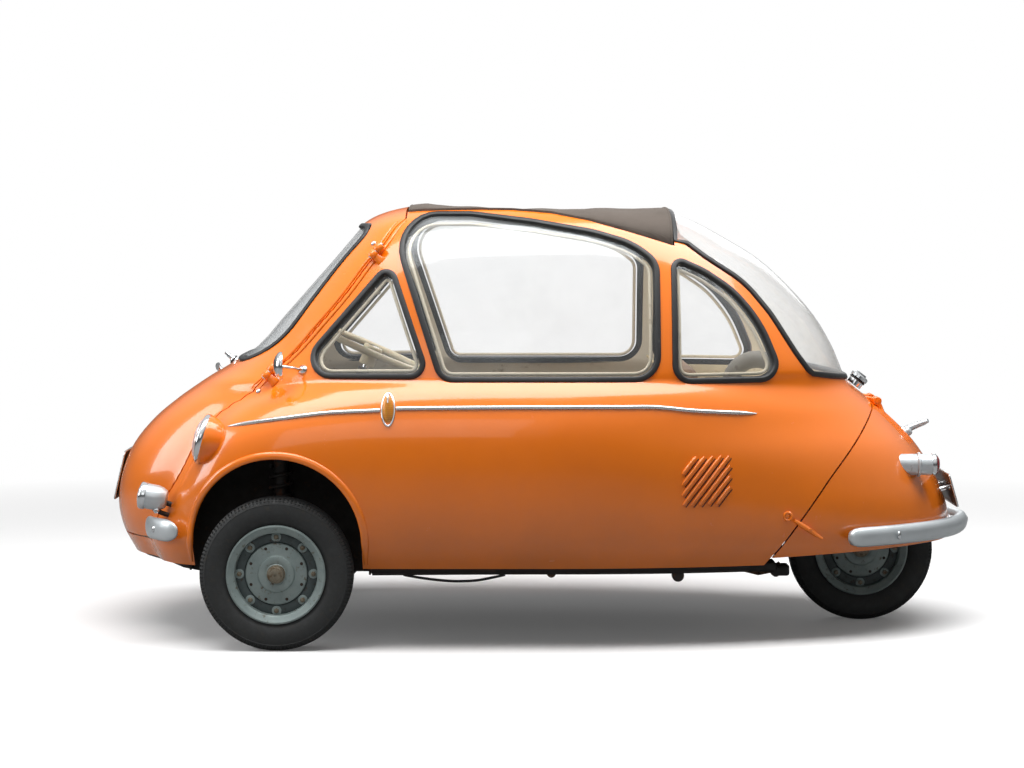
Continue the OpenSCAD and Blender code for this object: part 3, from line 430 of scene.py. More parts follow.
def carve(shape, *steps):
    """Cut a shape by others; each step is (operation, cutter)."""
    target = as_object(shape)
    for how, cutter in steps:
        bmesh.ops.remove_doubles(cutter, verts=cutter.verts, dist=0.01)
        bmesh.ops.recalc_face_normals(cutter, faces=cutter.faces)
        tool = as_object(cutter)
        cut = target.modifiers.new("cut", "BOOLEAN")
        cut.operation, cut.object, cut.solver = how, tool, "MANIFOLD"
        bpy.context.view_layer.update()
        mesh = bpy.data.meshes.new_from_object(
            target.evaluated_get(bpy.context.evaluated_depsgraph_get()))
        target.modifiers.clear()
        target.data = mesh
        bpy.data.objects.remove(tool)
    made = bmesh.new()
    made.from_mesh(target.data)
    bpy.data.objects.remove(target)
    bmesh.ops.remove_doubles(made, verts=made.verts, dist=0.02)
    return made


def as_object(shape):
    """A shape as an object, for a boolean cut."""
    mesh = bpy.data.meshes.new("tool")
    shape.to_mesh(mesh)
    shape.free()
    made = bpy.data.objects.new("tool", mesh)
    scene.collection.objects.link(made)
    return made


# ---- Driving dimensions, in millimetres ------------------------------------------
FRONT_AXLE, REAR_AXLE = 778, -987       # axle places along the car
HALF_TRACK = 610                        # middle plane of a front wheel
TYRE_RADIUS = 222
ARCH_RADIUS, ARCH_MIDDLE = 248, 310     # the cut for a front wheel, and its middle's height
WALL = 24                               # thickness of the double-skinned shell
GAP = 5                                 # width of a shut line
VALLEY = 30                             # blend where the wings meet the cabin
SEAL = 16                               # web of a gasket, between panel and glass
FIT = 0.4                               # clearance round a gasket

# ---- Body skin -------------------------------------------------------------------
# columns: height, front_x, rear_x, half_width, front_power, rear_power
CABIN = [
    [232, 1262, -1249, 556, 2.6, 1.7], [300, 1297, -1255, 600, 2.6, 1.7],
    [380, 1312, -1241, 617, 2.7, 1.7], [470, 1299, -1200, 625, 2.8, 1.7],
    [560, 1260, -1141, 623, 2.9, 1.7], [640, 1193, -1062, 616, 3.1, 1.9],
    [700, 1120, -991, 610, 3.3, 2.1], [740, 1063, -947, 605, 3.4, 2.3],
    [770, 1017, -929, 600, 3.6, 2.4], [800, 966, -916, 596, 3.6, 2.5],
    [860, 876, -890, 586, 3.7, 2.5], [950, 796, -836, 566, 3.8, 2.5],
    [1050, 708, -748, 538, 3.9, 2.5], [1130, 638, -658, 508, 4.0, 2.5],
    [1190, 587, -560, 470, 4.0, 2.5], [1235, 546, -478, 424, 3.9, 2.5],
    [1265, 487, -405, 372, 3.5, 2.5], [1285, 400, -330, 300, 3.1, 2.5],
    [1295, 300, -250, 210, 2.8, 2.5]]
FLANKS = [
    [232, 1166, -1242, 602, 5.0, 2.0], [300, 1187, -1255, 658, 5.0, 2.0],
    [380, 1150, -1242, 679, 5.0, 2.0], [470, 1090, -1200, 685, 6.5, 2.0],
    [560, 1036, -1141, 685, 7.5, 2.0], [640, 996, -1061, 678, 7.0, 2.0],
    [700, 938, -986, 662, 6.0, 2.1], [740, 890, -920, 640, 5.0, 2.2],
    [765, 850, -850, 612, 4.8, 2.3], [780, 780, -760, 575, 4.5, 2.4],
    [792, 640, -640, 480, 4.2, 2.5]]


def column(table, z, c):
    """Column c of a table at height z: a cubic through the rows."""
    i = 0
    while i < len(table) - 2 and z >= table[i + 1][0]:
        i += 1

    def slope(k):
        a, b = table[max(k - 1, 0)], table[min(k + 1, len(table) - 1)]
        return (b[c] - a[c]) / (b[0] - a[0])
    low, high = table[i], table[i + 1]
    h = high[0] - low[0]
    u = (z - low[0]) / h
    return (low[c] * (1 + 2 * u) * (1 - u) ** 2 + high[c] * u * u * (3 - 2 * u)
            + h * (slope(i) * u * (1 - u) ** 2 - slope(i + 1) * u * u * (1 - u)))


@lru_cache(None)
def outlines(z):
    """The cabin's outline at height z, and the wings' as far up as they reach."""
    tables = (CABIN, FLANKS) if z <= 792 else (CABIN,)
    return [[column(t, z, c) for c in range(1, 6)] for t in tables]


def radius(bearing, z):
    """Skin radius along a bearing, in radians, from the car's middle."""
    c, s = math.cos(bearing), abs(math.sin(bearing))
    found = []
    for front, rear, half, front_power, rear_power in outlines(z):
        n, a = (front_power, front) if c >= 0 else (rear_power, -rear)
        found.append(((abs(c) / a) ** n + (s / half) ** n) ** (-1 / n))
    if len(found) == 1:
        return found[0]
    return max(found) + max(VALLEY - abs(found[0] - found[1]), 0) ** 2 / (4 * VALLEY)


def skin(bearing, z, d=0.0):
    """Point d outside the skin."""
    r = radius(bearing, z) + d
    drop = min(max((z - 900) / 380, 0), 1)
    return Vector((r * math.cos(bearing), r * math.sin(bearing), z + d * drop))


def outward(bearing, z):
    """Unit normal of the skin."""
    z = min(z, 1290)
    across = skin(bearing + 0.003, z) - skin(bearing - 0.003, z)
    up = skin(bearing, z + 2) - skin(bearing, z - 2)
    return across.cross(up).normalized()


def halved(low, high, test):
    """Where test turns true between low and high."""
    for _ in range(30):
        middle = (low + high) / 2
        low, high = (low, middle) if test(middle) else (middle, high)
    return (low + high) / 2


def flank(x, z, side=1, d=0.0):
    """Point over the flank at x and z, d outside it along its normal, and the normal."""
    b = halved(0.0, math.pi, lambda t: radius(t, z) * math.cos(t) < x)
    n = outward(b, z)
    p = skin(b, z) + n * d
    return Vector((p.x, side * p.y, p.z)), Vector((n.x, side * n.y, n.z))


def nose(y, z, d=0.0):
    """Point over the nose at y and z, and the normal."""
    b = halved(-math.pi / 2, math.pi / 2, lambda t: radius(t, z) * math.sin(t) > y)
    n = outward(b, z)
    return skin(b, z) + n * d, n


def levels(low, high, steps):
    """Heights for the skin's rings: each table row, with steps to the next."""
    rows = [r[0] for r in CABIN]
    found = [a + (b - a) * k / steps for a, b in zip(rows, rows[1:]) for k in range(steps)]
    return [z for z in found + [rows[-1]] if low <= z <= high]


def skin_shell(outer, inner, low=0, high=1300, around=480, steps=4, inner_around=240,
               inner_steps=2):
    """A closed wall between two offsets of the skin; its inner faces are finish 1."""
    made = bmesh.new()
    for d, n, k, index in ((outer, around, steps, 0), (inner, inner_around, inner_steps, 1)):
        zs = levels(low, high, k)
        part = wrapped(n, len(zs) - 1,
                       lambda i, j: skin(math.tau * (i % n) / n, zs[j], d))
        for f in part.faces:
            f.material_index = index
        mesh = bpy.data.meshes.new("part")
        part.to_mesh(mesh)
        part.free()
        made.from_mesh(mesh)
        bpy.data.meshes.remove(mesh)
    rims = [e for e in made.edges if len(e.link_faces) == 1]
    lowest = min(v.co.z for v in made.verts)
    bottom = [e for e in rims if e.verts[0].co.z < lowest + 60]
    top = [e for e in rims if e not in set(bottom)]
    bmesh.ops.bridge_loops(made, edges=bottom)
    if high > 1295:
        bmesh.ops.holes_fill(made, edges=top, sides=0)
    else:
        bmesh.ops.bridge_loops(made, edges=top)
    bmesh.ops.recalc_face_normals(made, faces=made.faces)
    return made


# ---- Outlines: rows are x, z (or y, z) and corner radius --------------------------
SIDE_WINDOW = [[309, 773, 55], [470, 1268, 110], [215, 1268, 300], [36, 1246, 600],
               [-142, 1215, 500], [-262, 1180, 250], [-333, 1122, 70], [-333, 773, 75]]
VENT_WINDOW = [[452, 1132, 35], [330, 782, 45], [757, 782, 60]]
QUARTER_WINDOW = [[-367, 1145, 30], [-470, 1100, 300], [-560, 1040, 300], [-640, 945, 400],
                  [-712, 767, 55], [-367, 767, 55]]
DOME_EDGE = [[-376, 1400, 0], [-378, 1196, 60], [-467, 1128, 200], [-585, 1052, 300],
             [-660, 962, 400], [-735, 846, 300], [-785, 780, 60], [-936, 754, 0],
             [-1100, 726, 0], [-1100, 1400, 0]]
TAIL_EDGE = [[-1000, 800, 0], [-1006, 676, 30], [-841, 491, 900], [-661, 255, 0],
             [-600, 175, 0], [-1500, 175, 0], [-1500, 800, 0]]
WINDSCREEN = [[-446, 818, 105], [-344, 1232, 90], [344, 1232, 90], [446, 818, 105]]
DOOR_ANGLE = [[232, 18], [300, 18.3], [382, 19.6], [484, 22.8], [590, 24.6], [664, 26.5],
              [731, 30], [760, 30.8], [900, 35], [1014, 38.7], [1100, 40.8], [1172, 42.2],
              [1257, 41], [1400, 41]]
ROOF = [[406, 1256, 1288], [360, 1259, 1295], [272, 1261, 1287], [185, 1262, 1282],
        [99, 1261, 1279], [-16, 1252, 1278], [-130, 1230, 1279], [-245, 1198, 1280],
        [-310, 1178, 1281], [-375, 1158, 1280]]


def rounded(corners, steps=8):
    """Outline with each corner rounded by its own radius."""
    found = []
    for i, (x, z, r) in enumerate(corners):
        o = Vector((x, z))
        if r <= 0:
            found.append(o)
            continue
        u = (Vector(corners[i - 1][:2]) - o).normalized()
        v = (Vector(corners[(i + 1) % len(corners)][:2]) - o).normalized()
        half = math.acos(max(-1, min(1, u.dot(v)))) / 2
        middle = o + (u + v).normalized() * (r / math.sin(half))
        a = o + u * (r / math.tan(half)) - middle
        b = o + v * (r / math.tan(half)) - middle
        start = math.atan2(a.y, a.x)
        turn = math.atan2(a.x * b.y - a.y * b.x, a.dot(b))
        found += [middle + r * Vector((math.cos(start + turn * k / steps),
                                       math.sin(start + turn * k / steps)))
                  for k in range(steps + 1)]
    return found


def grown(points, d):
    """Outline moved outwards by d."""
    count = len(points)
    area = sum(p.x * q.y - q.x * p.y for p, q in zip(points, points[1:] + points[:1]))
    sign = 1 if area > 0 else -1
    found = []
    for i, p in enumerate(points):
        a = (p - points[i - 1]).normalized()
        b = (points[(i + 1) % count] - p).normalized()
        na, nb = Vector((a.y, -a.x)), Vector((b.y, -b.x))
        n = (na + nb).normalized()
        found.append(p + n * (sign * d / max(n.dot(na), 0.3)))
    return found


def spaced(points, gap, closed=True):
    """Outline with extra points, so that none is further than gap from the next."""
    found = []
    ends = points[1:] + (points[:1] if closed else [])
    for p, q in zip(points, ends):
        n = max(1, math.ceil((q - p).length / gap))
        found += [p + (q - p) * k / n for k in range(n)]
    return found if closed else found + [points[-1]]


def side_prism(corners, grow=0, low=-900, high=900):
    """A side-view outline, grown, drawn out across the car."""
    return prism([tuple(p) for p in grown(rounded(corners), grow)], low, high)


def front_prism(corners, grow=0):
    """A front-view outline, grown, drawn out along the nose."""
    made = prism([tuple(p) for p in grown(rounded(corners), grow)], 200, 1400)
    made.transform(Matrix(((0, 1, 0, 0), (1, 0, 0, 0), (0, 0, 1, 0), (0, 0, 0, 1))))
    return made


def door_zone(grow):
    """The wedge of the nose that swings with the door."""
    low, far = 292 - grow, 1800
    heights = [low] + [z for z in range(260, 1401, 24) if z > low + 6]

    def place(i, j):
        a = math.radians(column(DOOR_ANGLE, min(max(heights[j], 232), 1400), 1))
        tip = -grow / math.sin(a)
        return Vector(((tip, 0), (tip + far * math.cos(a), -far * math.sin(a)),
                       (tip + far * math.cos(a), far * math.sin(a)))[i % 3] + (heights[j],))
    made = cap(wrapped(3, len(heights) - 1, place))
    bmesh.ops.bisect_plane(made, geom=made.verts[:] + made.edges[:] + made.faces[:],
                           plane_co=(412 - grow, 0, 0), plane_no=(1, 0, 0), clear_inner=True)
    return cap(made)


def arch(side):
    """The opening for a front wheel: a half circle over straight sides."""
    points = [(FRONT_AXLE + ARCH_RADIUS, 0)]
    points += [(FRONT_AXLE + ARCH_RADIUS * math.cos(math.pi * k / 32),
                ARCH_MIDDLE + ARCH_RADIUS * math.sin(math.pi * k / 32)) for k in range(33)]
    points += [(FRONT_AXLE - ARCH_RADIUS, 0)]
    low, high = (300, 900) if side > 0 else (-900, -300)
    return prism(points, low, high)


def roof_opening():
    """All that is above the edge the hood cloth lies on."""
    points = ([(415, 1900), (415, 1265.5)] + [(x, z + 10) for x, z, _ in ROOF]
              + [(-381, 1166), (-381, 1900)])
    return prism(points, -900, 900)


# ---- Body, door and tail panels ----------------------------------------------------
body = Piece("body_shell", ENAMEL, LINING)
body.take(carve(
    skin_shell(0, -WALL), ("DIFFERENCE", door_zone(GAP / 2)),
    ("DIFFERENCE", side_prism(TAIL_EDGE, GAP / 2)), ("DIFFERENCE", side_prism(DOME_EDGE, FIT)),
    ("DIFFERENCE", side_prism(SIDE_WINDOW, FIT)), ("DIFFERENCE", side_prism(VENT_WINDOW, FIT)),
    ("DIFFERENCE", side_prism(QUARTER_WINDOW, FIT)), ("DIFFERENCE", roof_opening()),
    ("DIFFERENCE", arch(1)), ("DIFFERENCE", arch(-1))))
body.done("body", "orange_paint", "body_left", "body_right")

door = Piece("door_shell", ENAMEL, LINING)
door.take(carve(skin_shell(0, -WALL), ("INTERSECT", door_zone(-GAP / 2)),
                ("DIFFERENCE", front_prism(WINDSCREEN, FIT))))
door.done("front_door", "orange_paint", "door_panel")

tail = Piece("tail_shell", ENAMEL, UNDERSEAL)
tail.take(carve(
    skin_shell(0, -WALL, high=792), ("INTERSECT", side_prism(TAIL_EDGE, -GAP / 2)),
    ("DIFFERENCE", prism([(-560, 100), (-560, 252), (-1150, 266), (-1500, 256), (-1500, 100)],
                         -900, 900))))
tail.done("tail", "orange_paint", "tail_panel")


# ---- Glazing -------------------------------------------------------------------------
def pane(name, sheet, depth, body_name, slot, node, *cutters):
    """Clear sheets cut from the skin, depth below its surface."""
    made = Piece(name, sheet)
    for cutter in cutters:
        made.join(carve(skin_shell(-depth, -depth - 5, 700, 1291, 300, 3, 300, 3),
                        ("INTERSECT", cutter)))
    return made.done(body_name, slot, node)


pane("side_panes", GLASS, 4, "body", "glass", "side_windows",
     *[side_prism(w, -SEAL - 0.2, *span) for w in (SIDE_WINDOW, VENT_WINDOW, QUARTER_WINDOW)
       for span in ((200, 900), (-900, -200))])
pane("dome_pane", ACRYLIC, 4, "body", "clear_plastic", "rear_dome",
     side_prism(DOME_EDGE, -SEAL - 0.2))
pane("screen_pane", GLASS, 3, "front_door", "glass", "windscreen",
     front_prism(WINDSCREEN, -SEAL - 0.2))

# Rubber gasket: a rounded lip over both edges of the opening
GASKET = [(-8.6, -17), (8.6, -17), (8.6, 1.5), (7.6, 4), (5, 5.2), (0, 5.6), (-5, 5.2),
          (-7.6, 4), (-8.6, 1.5)]


def gasket_on_side(made, corners):
    """A gasket round a side window, on both sides of the car."""
    line = spaced(grown(rounded(corners), -SEAL / 2), 22)
    spots = [flank(p.x, p.y) for p in line]
    made.join(sweep([p for p, _ in spots], GASKET, [n for _, n in spots], closed=True), both=True)


gaskets = Piece("window_gaskets", RUBBER)
for window in (SIDE_WINDOW, VENT_WINDOW, QUARTER_WINDOW):
    gasket_on_side(gaskets, window)
gaskets.done("body", "black_rubber", "window_seals", sharp=60)

screen = Piece("screen_gasket", RUBBER)
spots = [nose(p.x, p.y) for p in spaced(grown(rounded(WINDSCREEN), -SEAL / 2), 22)]
screen.join(sweep([p for p, _ in spots], GASKET, [n for _, n in spots], closed=True))
screen.done("front_door", "black_rubber", "windscreen_seal", sharp=60)

# The dome's gasket runs over the roof, down the sides and round the back
edge = grown(rounded(DOME_EDGE), -SEAL / 2)
side_run = [p for p in spaced(edge, 20) if p.y < 1180 and -786 < p.x < -380]
top_x = -376 - SEAL / 2
ledge = [Vector((-785, 780 + SEAL / 2)), Vector((-936, 754 + SEAL / 2)), Vector((-1100, 726 + SEAL / 2))]


def ledge_z(x):
    """Height of the ledge behind the dome at x."""
    a, b = (ledge[0], ledge[1]) if x > -936 else (ledge[1], ledge[2])
    return a.y + (b.y - a.y) * (x - a.x) / (b.x - a.x)


run = []
first = halved(0.0, math.pi, lambda t: radius(t, 1180) * math.cos(t) < top_x)
for k in range(13):
    b = math.pi - (math.pi - first) * k / 12
    z = halved(1150, 1294, lambda h: radius(b, h) * math.cos(b) > top_x)
    run.append((b, z))
for p in side_run:
    run.append((halved(0.0, math.pi, lambda t: radius(t, p.y) * math.cos(t) < p.x), p.y))
last = run[-1][0]
for k in range(1, 25):
    b = last + (math.pi - last) * k / 24
    z = halved(700, 800, lambda h: h > ledge_z(radius(b, h) * math.cos(b)))
    run.append((b, z))
left = [(skin(b, z), outward(b, z)) for b, z in run]
right = [(MIRROR @ p, (MIRROR.to_3x3() @ n)) for p, n in left[1:-1]][::-1]
loop = left + right
dome = Piece("dome_gasket", RUBBER)
dome.join(sweep([p for p, _ in loop], GASKET, [n for _, n in loop], closed=True))
dome.done("body", "black_rubber", "dome_seal", sharp=60)

# ---- Wheels --------------------------------------------------------------------------
AXIS_Y = Matrix.Rotation(math.radians(-90), 4, "X")    # a lathed shape's z axis turned to +y


def wheel_place(x, y, side):
    """A lathed wheel's place, its outer face turned to side."""
    return at(x, y, TYRE_RADIUS) @ Matrix.Diagonal((1, side, 1, 1)) @ AXIS_Y


def tyre_shape():
    """Round-shouldered cross-ply: ribs on the tread, nicks round the shoulders."""
    half = [(128.3, 38), (141, 39), (149, 44), (158, 50), (172, 53), (186, 54), (199, 52.6),
            (203, 51.8), (204, 52.6), (207, 51.4), (213, 47), (218.5, 42.5), (220.5, 38),
            (221.2, 33), (216.5, 32), (216.5, 28.5), (221.6, 27.5), (222, 18), (217, 17),
            (217, 13.5), (222, 12.5), (222, 3), (217, 2), (217, 0)]
    made = lathe(half + [(r, -h) for r, h in half[-2::-1]] + [half[0]], 240)
    bmesh.ops.remove_doubles(made, verts=made.verts, dist=0.01)
    bmesh.ops.recalc_face_normals(made, faces=made.faces)
    nicks = []
    for f in made.faces:
        c = f.calc_center_median()
        r, turn = math.hypot(c.x, c.y), math.atan2(c.y, c.x) / math.tau * 240
        if (207 < r < 219.5 and 40 < abs(c.z) < 51) and round(turn - 0.5) % 2:
            nicks.append(f)
    bmesh.ops.inset_individual(made, faces=nicks, thickness=0.5, depth=-1.6)
    return made


def rim_shape(made):
    """Pressed steel wheel: flange, well, a disc with eight studs, and a brake drum cover."""
    made.join(lathe([(128, 42), (142, 42), (144, 45.5), (142.5, 48.5), (139, 49.4), (135, 47.5),
                     (131, 44), (124, 42), (120, 38), (118, 27), (117.6, 20), (128, 18),
                     (128, 42)], 96))
    made.join(lathe([(128, 19), (118, 20), (117.5, 14), (118, -20), (122, -44), (139, -49),
                     (144, -46), (142, -42), (128, -41), (128, 19)], 96))
    made.join(lathe([(119, 20), (116, 21.6), (98, 21.6), (93, 20.6), (89, 17), (89, 13),
                     (119, 13), (119, 20)], 96), finish=1)
    made.join(lathe([(89.6, 13), (89.6, 22.5), (87.5, 25.6), (83.5, 27), (58, 27.6), (54.5, 28.8),
                     (51, 33.2), (47, 34.2), (34, 34.2), (30, 33), (28, 34.5), (26.2, 34.5),
                     (12.2, 30), (12.2, -26), (89, -26), (89.6, 13)], 96), finish=0)
    made.join(lathe([(12.2, 33), (27, 33), (27, 36), (24.4, 37), (24, 55), (22.2, 57.4),
                     (17, 58.4), (16.4, 60.6), (15, 61), (4, 61), (3.4, 58.6), (0, 58.6)], 48),
              finish=2)
    for k in range(8):
        turn = Matrix.Rotation(math.radians(45 * k), 4, "Z")
        made.join(lathe([(0, 21), (14.5, 21), (13, 23.2), (9.5, 24.2), (0, 24.2)], 24),
                  turn @ at(107), finish=0)
        nut = lathe([(0, 24), (7.8, 24), (7.8, 28.5), (6, 30.4), (3.6, 30.6), (3.4, 33), (0, 33.4)], 6)
        made.join(nut, turn @ at(107), finish=2)
        # a small dark disc between each pair of studs: painted shadow of a hole in the disc
        made.join(lathe([(0, 26.9), (4.2, 26.9), (4.6, 27.5), (3.6, 27.75), (0, 27.7)], 16),
                  turn @ Matrix.Rotation(math.radians(22.5), 4, "Z") @ at(79), finish=3)
    return made


for spot, x, y, side in (("front_left", FRONT_AXLE, HALF_TRACK, 1),
                         ("front_right", FRONT_AXLE, -HALF_TRACK, -1), ("rear", REAR_AXLE, 0, 1)):
    body_name = spot + "_wheel"
    tyre = Piece("tyre_carcass_" + spot, TYRE)
    tyre.join(tyre_shape(), wheel_place(x, y, side))
    tyre.done(body_name, "tyre", "tyre_" + spot, sharp=40)
    rim = Piece("wheel_disc_" + spot, WHEEL, WHEEL_DARK, HUB, SLOT_SHADOW)
    rim_shape(rim)
    rim.bm.transform(wheel_place(x, y, side))
    if side < 0:
        bmesh.ops.reverse_faces(rim.bm, faces=rim.bm.faces)
    rim.done(body_name, "wheel_paint", "rim_" + spot, sharp=30)

# ---- Wheel arch lips and panel ribs ------------------------------------------------------
LIP = [(-11, -3), (11, -3), (11, 1.5), (8, 4.6), (3, 6.6), (-4, 7), (-9.5, 5.5), (-11.5, 2)]
lips = Piece("wheel_arch_lips", ENAMEL)
lip_radius = ARCH_RADIUS + 10
line = [(FRONT_AXLE + lip_radius, z) for z in range(246, ARCH_MIDDLE, 16)]
line += [(FRONT_AXLE + lip_radius * math.cos(math.pi * k / 40),
          ARCH_MIDDLE + lip_radius * math.sin(math.pi * k / 40)) for k in range(41)]
line += [(FRONT_AXLE - lip_radius, z) for z in range(ARCH_MIDDLE - 16, 236, -16)]
spots = [flank(x, z, 1, -0.5) for x, z in line]
sizes = [min(1, 0.45 + 0.14 * min(i, len(line) - 1 - i)) for i in range(len(line))]
lips.join(sweep([p for p, _ in spots], [(-s, h) for s, h in LIP], [n for _, n in spots],
                sizes=sizes), both=True)
lips.done("body", "orange_paint", sharp=50)

# Louvre patch ahead of the tail: eight pressed ribs, each with a dark strip along its lower edge that
# paints the shadow of its opening
PATCH_X, PATCH_Z, PATCH_HALF = -462, 491, 70
RIB_STEP = 19
RUN_X, RUN_Z = 0.62, 0.78              # the ribs run rearward and up
CORNER = 116                           # where two corners of the patch are cut across
RIB = [(-7.6, -2), (7.6, -2), (6.4, 1.5), (3, 4.8), (-1.5, 6.6), (-5.4, 5.4), (-6.6, 3)]
RIB_SIZES = [0.55, 0.95] + [1] * 5 + [0.95, 0.55]


def on_patch(t, shift):
    """The place t along the rib that lies shift away from the patch's middle."""
    return PATCH_X - t * RUN_X - shift * RUN_Z, PATCH_Z + t * RUN_Z - shift * RUN_X


def rib_end(shift, sign):
    """How far a rib runs, by steps of 2, before an edge or a cut corner of the patch."""
    t = 0.0
    while t < 110:
        x, z = on_patch(sign * t, shift)
        u, v = x - PATCH_X, z - PATCH_Z
        if max(abs(u), abs(v)) > PATCH_HALF or (abs(u + v) > CORNER and u * v > 0):
            break
        t += 2
    return sign * (t - 2)


louvres = Piece("side_louvres", ENAMEL, SLOT_SHADOW)
for k in range(8):
    shift = (k - 3.5) * RIB_STEP
    first, last = rib_end(shift, -1), rib_end(shift, 1)
    line = [on_patch(first + (last - first) * i / 8, shift) for i in range(9)]
    spots = [flank(x, z, 1, 0.2) for x, z in line]
    louvres.join(sweep([p for p, _ in spots], RIB, [n for _, n in spots], sizes=RIB_SIZES), both=True)
    # a thin dark strip along the rib's lower edge, in the shadow finish: painted shadow of the opening
    under = [flank(x - 6.9, z - 6.0, 1, 0.3) for x, z in line]
    louvres.join(sweep([p for p, _ in under], circle(1.5, 8, 0.6), [n for _, n in under]),
                 finish=1, both=True)
louvres.done("body", "orange_paint", sharp=50)

# Cooling slits down the tail on each side of its middle: a raised lip each, and beside it a dark strip
# that paints the shadow of the slit
slits = Piece("tail_slits", ENAMEL, SLOT_SHADOW)
for y in (70, 92, 114, 136):
    line = []
    for k in range(11):
        z = 672 - 11.5 * k
        b = math.pi - halved(0.0, 1.2, lambda t: radius(math.pi - t, z) * math.sin(t) > y)
        line.append((b, z))
    slits.join(sweep([skin(b, z, 0.6) for b, z in line], circle(3.4, 8, 0.55),
                     [outward(b, z) for b, z in line], sizes=[0.3] + [1] * 9 + [0.3]), both=True)
    # the dark strip beside each lip: painted shadow of the slit
    line = [(b + 5.0 / radius(b, z), z) for b, z in line[1:-1]]
    slits.join(sweep([skin(b, z, 0.2) for b, z in line], circle(2.4, 6, 0.4),
                     [outward(b, z) for b, z in line]), finish=1, both=True)
slits.done("tail", "orange_paint", sharp=60)

# ---- Bright trim strip, dented where it has been knocked ---------------------------------
STRIP = [[918, 646], [850, 659], [749, 674], [632, 690], [475, 697], [432, 702], [127, 705],
         [-310, 705], [-442, 690], [-613, 679]]


def eased(points, times):
    """A run of points with its kinks drawn out, its ends kept."""
    for _ in range(times):
        inner = [(a + b * 2 + c) / 4 for a, b, c in zip(points, points[1:], points[2:])]
        points = [points[0]] + inner + [points[-1]]
    return points


smooth_run = eased(spaced([Vector(p) for p in STRIP], 18, closed=False), 3)
strips = Piece("bright_strips", TRIM)
MOULDING = [(-6, 0), (6, 0), (5.6, 3), (3.4, 5.4), (0, 6.4), (-3.4, 5.4), (-5.6, 3)]
INDICATOR_X, INDICATOR_Z = 453, 698
for part in ([p for p in smooth_run if p.x > INDICATOR_X + 9],
             [p for p in smooth_run if p.x < INDICATOR_X - 9]):
    spots = []
    for p in part:
        knock = noise.noise(Vector((p.x / 90, 3.1, 0)))
        spots.append(flank(p.x, p.y + 0.9 * knock, 1, 0.6))
    path = eased([p for p, _ in spots], 4)
    ups = eased([v for _, v in spots], 4)
    n = len(path)
    sizes = [1.0] * n
    for i, k in enumerate((0.25, 0.6, 0.85)):
        if part[0].x > 800:
            sizes[i] = k
        if part[-1].x < -500:
            sizes[n - 1 - i] = k
    strips.join(sweep(path, MOULDING, ups, sizes=sizes), both=True)
strips.done("body", "aluminium_trim", "side_trim", sharp=50)

# Side indicator: oval amber lens standing in a chrome bezel
indicators = Piece("oval_indicators", CHROME, AMBER)
spot, out = flank(INDICATOR_X, INDICATOR_Z)
oval = [(18 * math.cos(math.tau * k / 40), 45 * math.sin(math.tau * k / 40)) for k in range(40)]
bezel = [flank(INDICATOR_X + a, INDICATOR_Z + b, 1, 1.5)[0] for a, b in oval]
indicators.join(sweep(bezel, circle(3.2, 10, 0.9), [out] * 40, closed=True), both=True)
lens = bmesh.new()
bmesh.ops.create_uvsphere(lens, u_segments=32, v_segments=20, radius=1)
indicators.join(lens, Matrix.Translation(spot + out * 1) @ Matrix.Diagonal((16.6, 19, 43.5, 1)),
                finish=1, both=True)
band = [spot + out * (19.8 * math.cos(t)) + Vector((0, 0, 44 * math.sin(t)))
        for t in [math.radians(20 + 60 * k / 16) for k in range(17)]]
indicators.join(sweep(band, [(-2.4, -1), (2.4, -1), (2.4, 1), (0, 1.6), (-2.4, 1)], [out] * 17),
                both=True)
indicators.done("body", "amber_lens", "side_indicators", sharp=50)

# ---- Lamps ---------------------------------------------------------------------------------
def headlamp_place(side):
    """Let into the wing, turned 5 degrees in and leaning 14 degrees back."""
    return (at(990, side * 558, 605) @ Matrix.Rotation(math.radians(side * -5), 4, "Z")
            @ Matrix.Rotation(math.radians(76), 4, "Y"))


lamps = Piece("headlamp_bowls", SILVER, CHROME, LENS, ENAMEL)
for side in (1, -1):
    place = headlamp_place(side)
    lamps.join(lathe([(0, -62), (44, -62), (58, -44), (66, -28), (71, -12), (72, 2), (70, 6)], 64),
               place, finish=3)
    lamps.join(lathe([(70, -6), (73.5, -4), (75, 0), (75, 5), (73.5, 9.5), (70, 12.6), (66, 13.8),
                      (64.5, 12), (64.5, 4)], 64), place, finish=1)
    lamps.join(lathe([(65, 9), (62, 16), (55, 22), (42, 27), (24, 30), (0, 31)], 64), place,
               finish=2)
    lamps.join(lathe([(64, 8), (58, -8), (44, -26), (24, -38), (0, -42)], 48), place, finish=1)
    lamps.join(lathe([(0, -36), (9, -36), (9, -10), (7, -2), (0, 2)], 20), place, finish=2)
    lamps.join(lathe([(0, 3), (3.4, 3), (4.2, 5), (3, 6.6), (0, 7)], 10),
               place @ at(71, 0, 6), finish=1)
lamps.done("body", "silver_paint", "headlamps", sharp=40)

aux = Piece("auxiliary_lamp_cans", SILVER, LENS, CHROME, CHASSIS)
can = at(1152, 490, 430) @ Matrix.Rotation(math.radians(80), 4, "Y") @ at(0, 0, -42)
aux.join(lathe([(0, 0), (20, 0), (26, 2), (33, 14), (37, 30), (37.4, 62), (36, 66)], 48), can, both=True)
aux.join(lathe([(36, 60), (39.6, 61), (40.4, 64), (40.4, 76), (38, 80), (34.5, 81.4), (33.6, 78)], 48),
         can, finish=2, both=True)
aux.join(lathe([(34.5, 78), (31, 82.5), (20, 86), (0, 87)], 40), can, finish=1, both=True)
aux.join(sweep([(1146, 484, 424), (1120, 478, 414), (1092, 470, 402), (1064, 460, 392)],
               circle(8, 12)), finish=3, both=True)
aux.join(sweep([(1150, 490, 396), (1130, 486, 384), (1100, 474, 372), (1070, 462, 366)],
               circle(7, 12)), finish=3, both=True)
aux.join(lathe([(0, 0), (9, 0), (9, 6), (5, 9), (5, 12), (0, 12)], 6),
         at(1140, 506, 392) @ AXIS_Y, finish=2, both=True)
aux.done("body", "silver_paint", "auxiliary_lamps", sharp=40)

